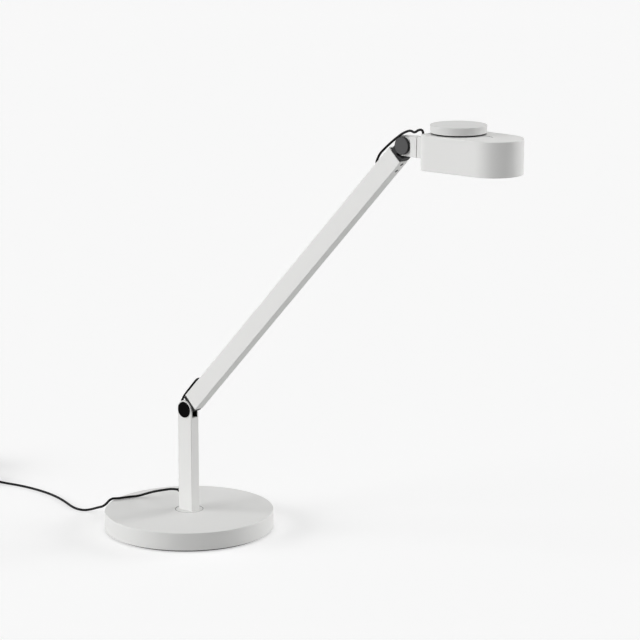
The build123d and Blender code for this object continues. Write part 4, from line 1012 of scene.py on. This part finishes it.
@dataclass
class Post(SubAssembly):
    """Swivelling post: tube, disc, relief and the lower pivot's fixed half."""

    body: str = "post"
    cord_height: float = 0.039
    wall_start: float = 0.0066
    wall_end: float = 0.0079
    collar_radius: float = 0.0030
    wall_radius: float = 0.0023
    shoulder: tuple[float, float] = (0.0101, 0.0112)
    tip: float = 0.0155
    tip_radius: float = 0.0020
    bevel: float = 0.0002
    ribs: int = 3
    rib_depth: float = 0.0004
    rib_taper: float = 0.00005
    rib_stops: tuple[float, float, float] = (0.1, 0.8, 1.9)
    slot_shade_middle: Point = (0.0010, 0.0, 0.12785)
    slot_shade_span: tuple[float, float] = (0.00362, 0.00374)
    slot_shade_half: tuple[float, float, float] = (0.0088, 0.00465, 0.0008)
    finishes: dict[Finish, tuple[str, ...]] = field(
        default_factory=lambda: {
            WHITE_PAINT: ("swivel_disc", "post_tube"),
            STEEL: (
                "swivel_shaft", "swivel_spring_washer", "swivel_stop_washer", "swivel_nut",
                "lower_pivot_sleeve", "lower_pivot_screw",
            ),
            ALUMINIUM: ("post_foot_insert",),
            CAP_AND_SHADE_BLACK: ("lower_pivot_caps",),
            BLACK_MOULDED: ("lower_friction_washers",),
            SHEATH: ("post_wire",),
        }
    )

    def relief(self) -> Piece:
        """Tapered cord relief with fine ribs, along -X from the post's back wall.

        Returns:
            The relief.
        """
        collar, (back, front) = self.collar_radius, self.shoulder
        outer = [
            (collar, self.wall_start),
            (collar, self.wall_end),
            (self.wall_radius, self.wall_end),
            (self.wall_radius, back),
            (collar - self.bevel, back),
            (collar, back + self.bevel),
            (collar, front),
        ]
        span = (self.tip - front) / (2 * self.ribs)
        foot, rise, end = (stop * span for stop in self.rib_stops)
        for rib in range(self.ribs):
            start = front + 2 * rib * span
            size = collar + (self.tip_radius - collar) * (2 * rib + 1) / (2 * self.ribs)
            low = size - self.rib_depth
            outer += [(low, start + foot), (low, start + rise)]
            outer += [(size, start + span), (size - self.rib_taper, start + end)]
        outer.append((self.tip_radius - self.bevel, self.tip))
        outer += [(CORD_BORE, self.tip), (CORD_BORE, self.wall_start)]
        place = Mesher.along((-1.0, 0.0, 0.0), (0.0, 0.0, self.cord_height))
        return Mesher.lathe("cord_relief_ribbed", outer, SHEATH, place, steps=48)

    def slot_painted_shade(self) -> Piece:
        """Thin black sheet on the far wall inside the pivot's slot, painted shade for the slot's
        shaded inside.

        Returns:
            The sheet.
        """
        start, end = self.slot_shade_span
        half_x, half_z, corner = self.slot_shade_half
        sections = [(start, half_x, half_z, corner), (end, half_x, half_z, corner)]
        place = Mesher.along((0.0, 1.0, 0.0), self.slot_shade_middle, (1.0, 0.0, 0.0))
        return Mesher.rounded_sections("slot_painted_shade", sections, CAP_AND_SHADE_BLACK, place)

    def build(self) -> None:
        """Dress the post and add its relief and the painted shade sheet in the slot."""
        self.dress()
        self.add(self.relief(), "cord_rubber", "cord_relief")
        # The black sheet is painted shade inside the pivot's slot.
        self.add(self.slot_painted_shade(), "black_plastic")


@dataclass
class Arm(SubAssembly):
    """Long arm with its lower insert and the upper fork."""

    body: str = "arm"
    fork_half: float = 0.0066
    cheek_radius: float = 0.0083
    cheek_proud: float = 0.00018
    cheek_sunk: float = 0.0002
    cheek_bevel: float = 0.00015
    cheek_edge: float = 0.4
    rim_inner: float = 0.0060
    rim_radius: float = 0.0076
    rim_half: float = 0.0036
    rim_round: float = 0.0003
    finishes: dict[Finish, tuple[str, ...]] = field(
        default_factory=lambda: {
            WHITE_PAINT: ("arm_tube",),
            BLACK_MOULDED: ("lower_insert",),
            BRONZE: ("lower_bush",),
            DARK_STEEL: ("lower_insert_screws", "upper_fork_screws", "upper_pivot_screw"),
            DARK_MOULDED: ("upper_fork",),
            SHEATH: ("arm_grommets", "arm_wire"),
        }
    )

    def cheek(self) -> Piece:
        """Satin face disc on the fork's near ear.

        Returns:
            The disc.
        """
        rim, face = self.cheek_radius, self.cheek_proud
        profile = [
            (0.0, -self.cheek_sunk), (rim, -self.cheek_sunk), (rim, face * self.cheek_edge),
            (rim - self.cheek_bevel, face), (0.0, face),
        ]
        middle = UPPER_PIVOT + Vector((0.0, -self.fork_half, 0.0))
        place = Mesher.along((0.0, -1.0, 0.0), middle, (1.0, 0.0, 0.0))
        return Mesher.lathe("fork_cheek", profile, CHEEK_MOULDED, place)

    def tongue_rim(self) -> Piece:
        """Black rounded rim of the tongue in the post's slot.

        Returns:
            The rim.
        """
        inner, outer, half, cut = self.rim_inner, self.rim_radius, self.rim_half, self.rim_round
        profile = [
            (inner, -half), (outer - cut, -half), (outer, cut - half), (outer, half - cut),
            (outer - cut, half), (inner, half),
        ]
        place = Mesher.along((0.0, 1.0, 0.0), LOWER_PIVOT, (1.0, 0.0, 0.0))
        return Mesher.lathe("tongue_rim", profile, CAP_AND_SHADE_BLACK, place)

    def build(self) -> None:
        """Dress the arm and add the fork's face disc and the tongue's rim."""
        self.dress()
        self.add(self.cheek(), "dark_plastic")
        self.add(self.tongue_rim(), "black_plastic")


@dataclass
class Neck(SubAssembly):
    """Flat link between arm and head."""

    body: str = "neck"
    finishes: dict[Finish, tuple[str, ...]] = field(
        default_factory=lambda: {
            WHITE_PAINT: ("neck_block",),
            BRONZE: ("upper_bush",),
            BLACK_MOULDED: ("upper_friction_washers",),
            STEEL: ("roll_bolt",),
            DARK_STEEL: ("roll_grub_screw",),
        }
    )

    def build(self) -> None:
        """Dress the neck."""
        self.dress()


@dataclass
class Head(SubAssembly):
    """Flat light head with its optics, dimmer and a thin dark tapered arc on its top."""

    body: str = "head"
    top: float = 0.459
    mark: tuple[tuple[float, float], ...] = (
        (0.3850, 0.0036), (0.3880, 0.0051), (0.3915, 0.0059),
        (0.3965, 0.0055), (0.4010, 0.0038), (0.4055, 0.0013),
    )
    mark_widths: tuple[float, ...] = (0.0014, 0.0014, 0.0013, 0.0012, 0.0009, 0.0004)
    mark_sunk: float = 0.0002
    mark_proud: float = 0.00004
    finishes: dict[Finish, tuple[str, ...]] = field(
        default_factory=lambda: {
            WHITE_PAINT: ("head_collar", "head_shell"),
            STEEL: ("collar_screws", "roll_spring_washer", "board_screws", "potentiometer_nut"),
            ALUMINIUM: ("heat_sink", "led_board"),
            PHOSPHOR: ("leds",),
            WHITE_MOULDED: ("reflector",),
            OPAL: ("diffuser",),
            LAMINATE: ("dimmer_board",),
            BRONZE: ("potentiometer",),
            SHEATH: ("head_grommet",),
        }
    )

    def build(self) -> None:
        """Dress the head and lay a thin dark tapered arc on its top beside the dimmer."""
        self.dress()
        # A thin dark tapered strip lying almost flush on the head's top beside the dimmer disc.
        low, high = self.top - self.mark_sunk, self.top + self.mark_proud
        mark = Mesher.ribbon("dimmer_side_arc", self.mark, self.mark_widths, low, high, TOP_ARC_GREY)
        self.add(mark, "dark_plastic")


@dataclass
class Dimmer(SubAssembly):
    """The dimmer disc on top of the head."""

    body: str = "knob"
    axis_x: float = 0.365
    underside: float = 0.4605
    shade_inner: float = 0.0180
    shade_outer: float = 0.0262
    shade_depth: float = 0.0010
    shade_lap: float = 0.0001
    shade_bevel: float = 0.0003
    finishes: dict[Finish, tuple[str, ...]] = field(
        default_factory=lambda: {WHITE_MOULDED: ("dimmer_knob",), STEEL: ("knob_spindle",)}
    )

    def under_disc_shade(self) -> Piece:
        """Black ring under the disc's rim, painted shade that darkens the gap between disc and
        head.

        Returns:
            The ring.
        """
        low, high = self.underside - self.shade_depth, self.underside + self.shade_lap
        profile = [
            (self.shade_inner, low), (self.shade_outer - self.shade_bevel, low),
            (self.shade_outer, low + self.shade_bevel), (self.shade_outer, high), (self.shade_inner, high),
        ]
        place = Matrix.Translation((self.axis_x, 0.0, 0.0))
        return Mesher.lathe("dimmer_painted_shade", profile, CAP_AND_SHADE_BLACK, place)

    def build(self) -> None:
        """Dress the dimmer and add the painted shade ring under it."""
        self.dress()
        # The black ring under the dimmer is painted shade for the gap between disc and head.
        self.add(self.under_disc_shade(), "black_plastic")


@dataclass
class Adapter(SubAssembly):
    """Plug-in power adapter at the cord's far end, lying on its side."""

    body: str = "base"
    face: float = -0.345
    middle_y: float = -0.0212
    length: float = 0.060
    half_width: float = 0.019
    half_height: float = 0.0135
    corner: float = 0.004
    edge: float = 0.0015
    grip_start: float = 0.012
    grip_pitch: float = 0.0032
    grips: int = 4
    grip_cut: tuple[float, float] = (0.0009, 0.0005)
    seam_from_end: float = 0.0095
    seam_cut: tuple[float, float] = (0.0006, 0.0006)
    cut_walls: tuple[float, float] = (0.25, 0.75)
    cord_height: float = 0.0109
    sleeve_length: float = 0.011
    sleeve_radius: float = 0.0032
    sleeve_taper: float = 0.0013
    sleeve_ribs: int = 4
    rib_depth: float = 0.0005
    rib_stops: tuple[float, float, float, float] = (0.1, 0.55, 0.62, 0.98)
    pin_pitch: float = 0.019
    pin_length: float = 0.019
    pin_radius: float = 0.002
    pin_round: float = 0.0012
    pin_root: float = 0.009
    root_lap: float = 0.001
    root_bevel: float = 0.0002

    def _frame(self, height: float, start: float) -> Matrix:
        """A frame that looks along -X from a place on the adapter's axis."""
        return Mesher.along((-1.0, 0.0, 0.0), (start, self.middle_y, height), (0.0, 1.0, 0.0))

    def shell(self) -> Piece:
        """Moulded box with rounded ends, grip grooves and the seam of its pin plate.

        Returns:
            The box.
        """
        stops = Mesher.quarter(self.edge)
        cuts = [(self.grip_start + self.grip_pitch * k, *self.grip_cut) for k in range(self.grips)]
        cuts.append((self.length - self.seam_from_end, *self.seam_cut))
        near, far = self.cut_walls
        for start, width, depth in cuts:
            stops += [(start, 0.0), (start + width * near, depth)]
            stops += [(start + width * far, depth), (start + width, 0.0)]
        for inward, pull in reversed(Mesher.quarter(self.edge)):
            stops.append((self.length - inward, pull))
        sections = [
            (place, self.half_width - pull, self.half_height - pull, self.corner - pull)
            for place, pull in stops
        ]
        place = self._frame(self.half_height, self.face)
        return Mesher.rounded_sections("adapter_shell", sections, BLACK_MOULDED, place)

    def sleeve(self) -> Piece:
        """Ribbed bend relief at the cord's entry.

        Returns:
            The relief.
        """
        outer = [(self.sleeve_radius, 0.0)]
        pitch = self.sleeve_length / self.sleeve_ribs
        for rib in range(self.sleeve_ribs):
            size = self.sleeve_radius - self.sleeve_taper * (rib + 0.5) / self.sleeve_ribs
            low = size - self.rib_depth
            for radius, stop in zip((size, size, low, low), self.rib_stops):
                outer.append((radius, rib * pitch + stop * pitch))
        outer += [(CORD_BORE, self.sleeve_length), (CORD_BORE, 0.0)]
        place = Mesher.along((1.0, 0.0, 0.0), (self.face, self.middle_y, self.cord_height))
        return Mesher.lathe("adapter_sleeve_ribbed", outer, SHEATH, place, steps=40)

    def pins(self) -> list[Piece]:
        """Round plated pins with insulated roots.

        Returns:
            Each pin's metal and its root.
        """
        made = []
        root, radius, length = self.pin_root, self.pin_radius, self.pin_length
        tip = [(radius - pull, length - low) for pull, low in Mesher.quarter(self.pin_round)]
        metal = [(0.0, root - self.root_lap), (radius, root - self.root_lap), *tip, (0.0, length)]
        jacket = [
            (0.0, 0.0), (radius, 0.0), (radius, root - self.root_bevel),
            (radius - self.root_bevel, root), (0.0, root),
        ]
        for label, offset in (("near", -self.pin_pitch / 2), ("far", self.pin_pitch / 2)):
            start = (self.face - self.length, self.middle_y + offset, self.half_height)
            place = Mesher.along((-1.0, 0.0, 0.0), start)
            made.append(Mesher.lathe(f"adapter_pin_{label}", metal, NICKEL, place, steps=32))
            name = f"adapter_pin_root_{label}"
            made.append(Mesher.lathe(name, jacket, BLACK_MOULDED, place, steps=32))
        return made

    def build(self) -> list[Piece]:
        """Build and place the adapter.

        Returns:
            Its pieces.
        """
        shell = self.add(self.shell(), "black_plastic", "adapter_body")
        sleeve = self.add(self.sleeve(), "cord_rubber", "adapter_relief")
        pins = self.pins()
        for pin in pins:
            metal = pin.data.materials[0].name == NICKEL.name
            self.add(pin, "pin_metal" if metal else "black_plastic", "adapter_pins")
        return [shell, sleeve, *pins]


def main() -> None:
    """Build the lamp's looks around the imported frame, sub-assembly by sub-assembly."""
    logging.basicConfig(level=logging.INFO)
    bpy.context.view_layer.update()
    Studio().build()
    for assembly in (Base(), Post(), Arm(), Neck(), Head(), Dimmer()):
        assembly.build()
    adapter = Adapter().build()
    Cord().build(adapter)
    Leads(body="arm").build()


if __name__ == "__main__":
    main()
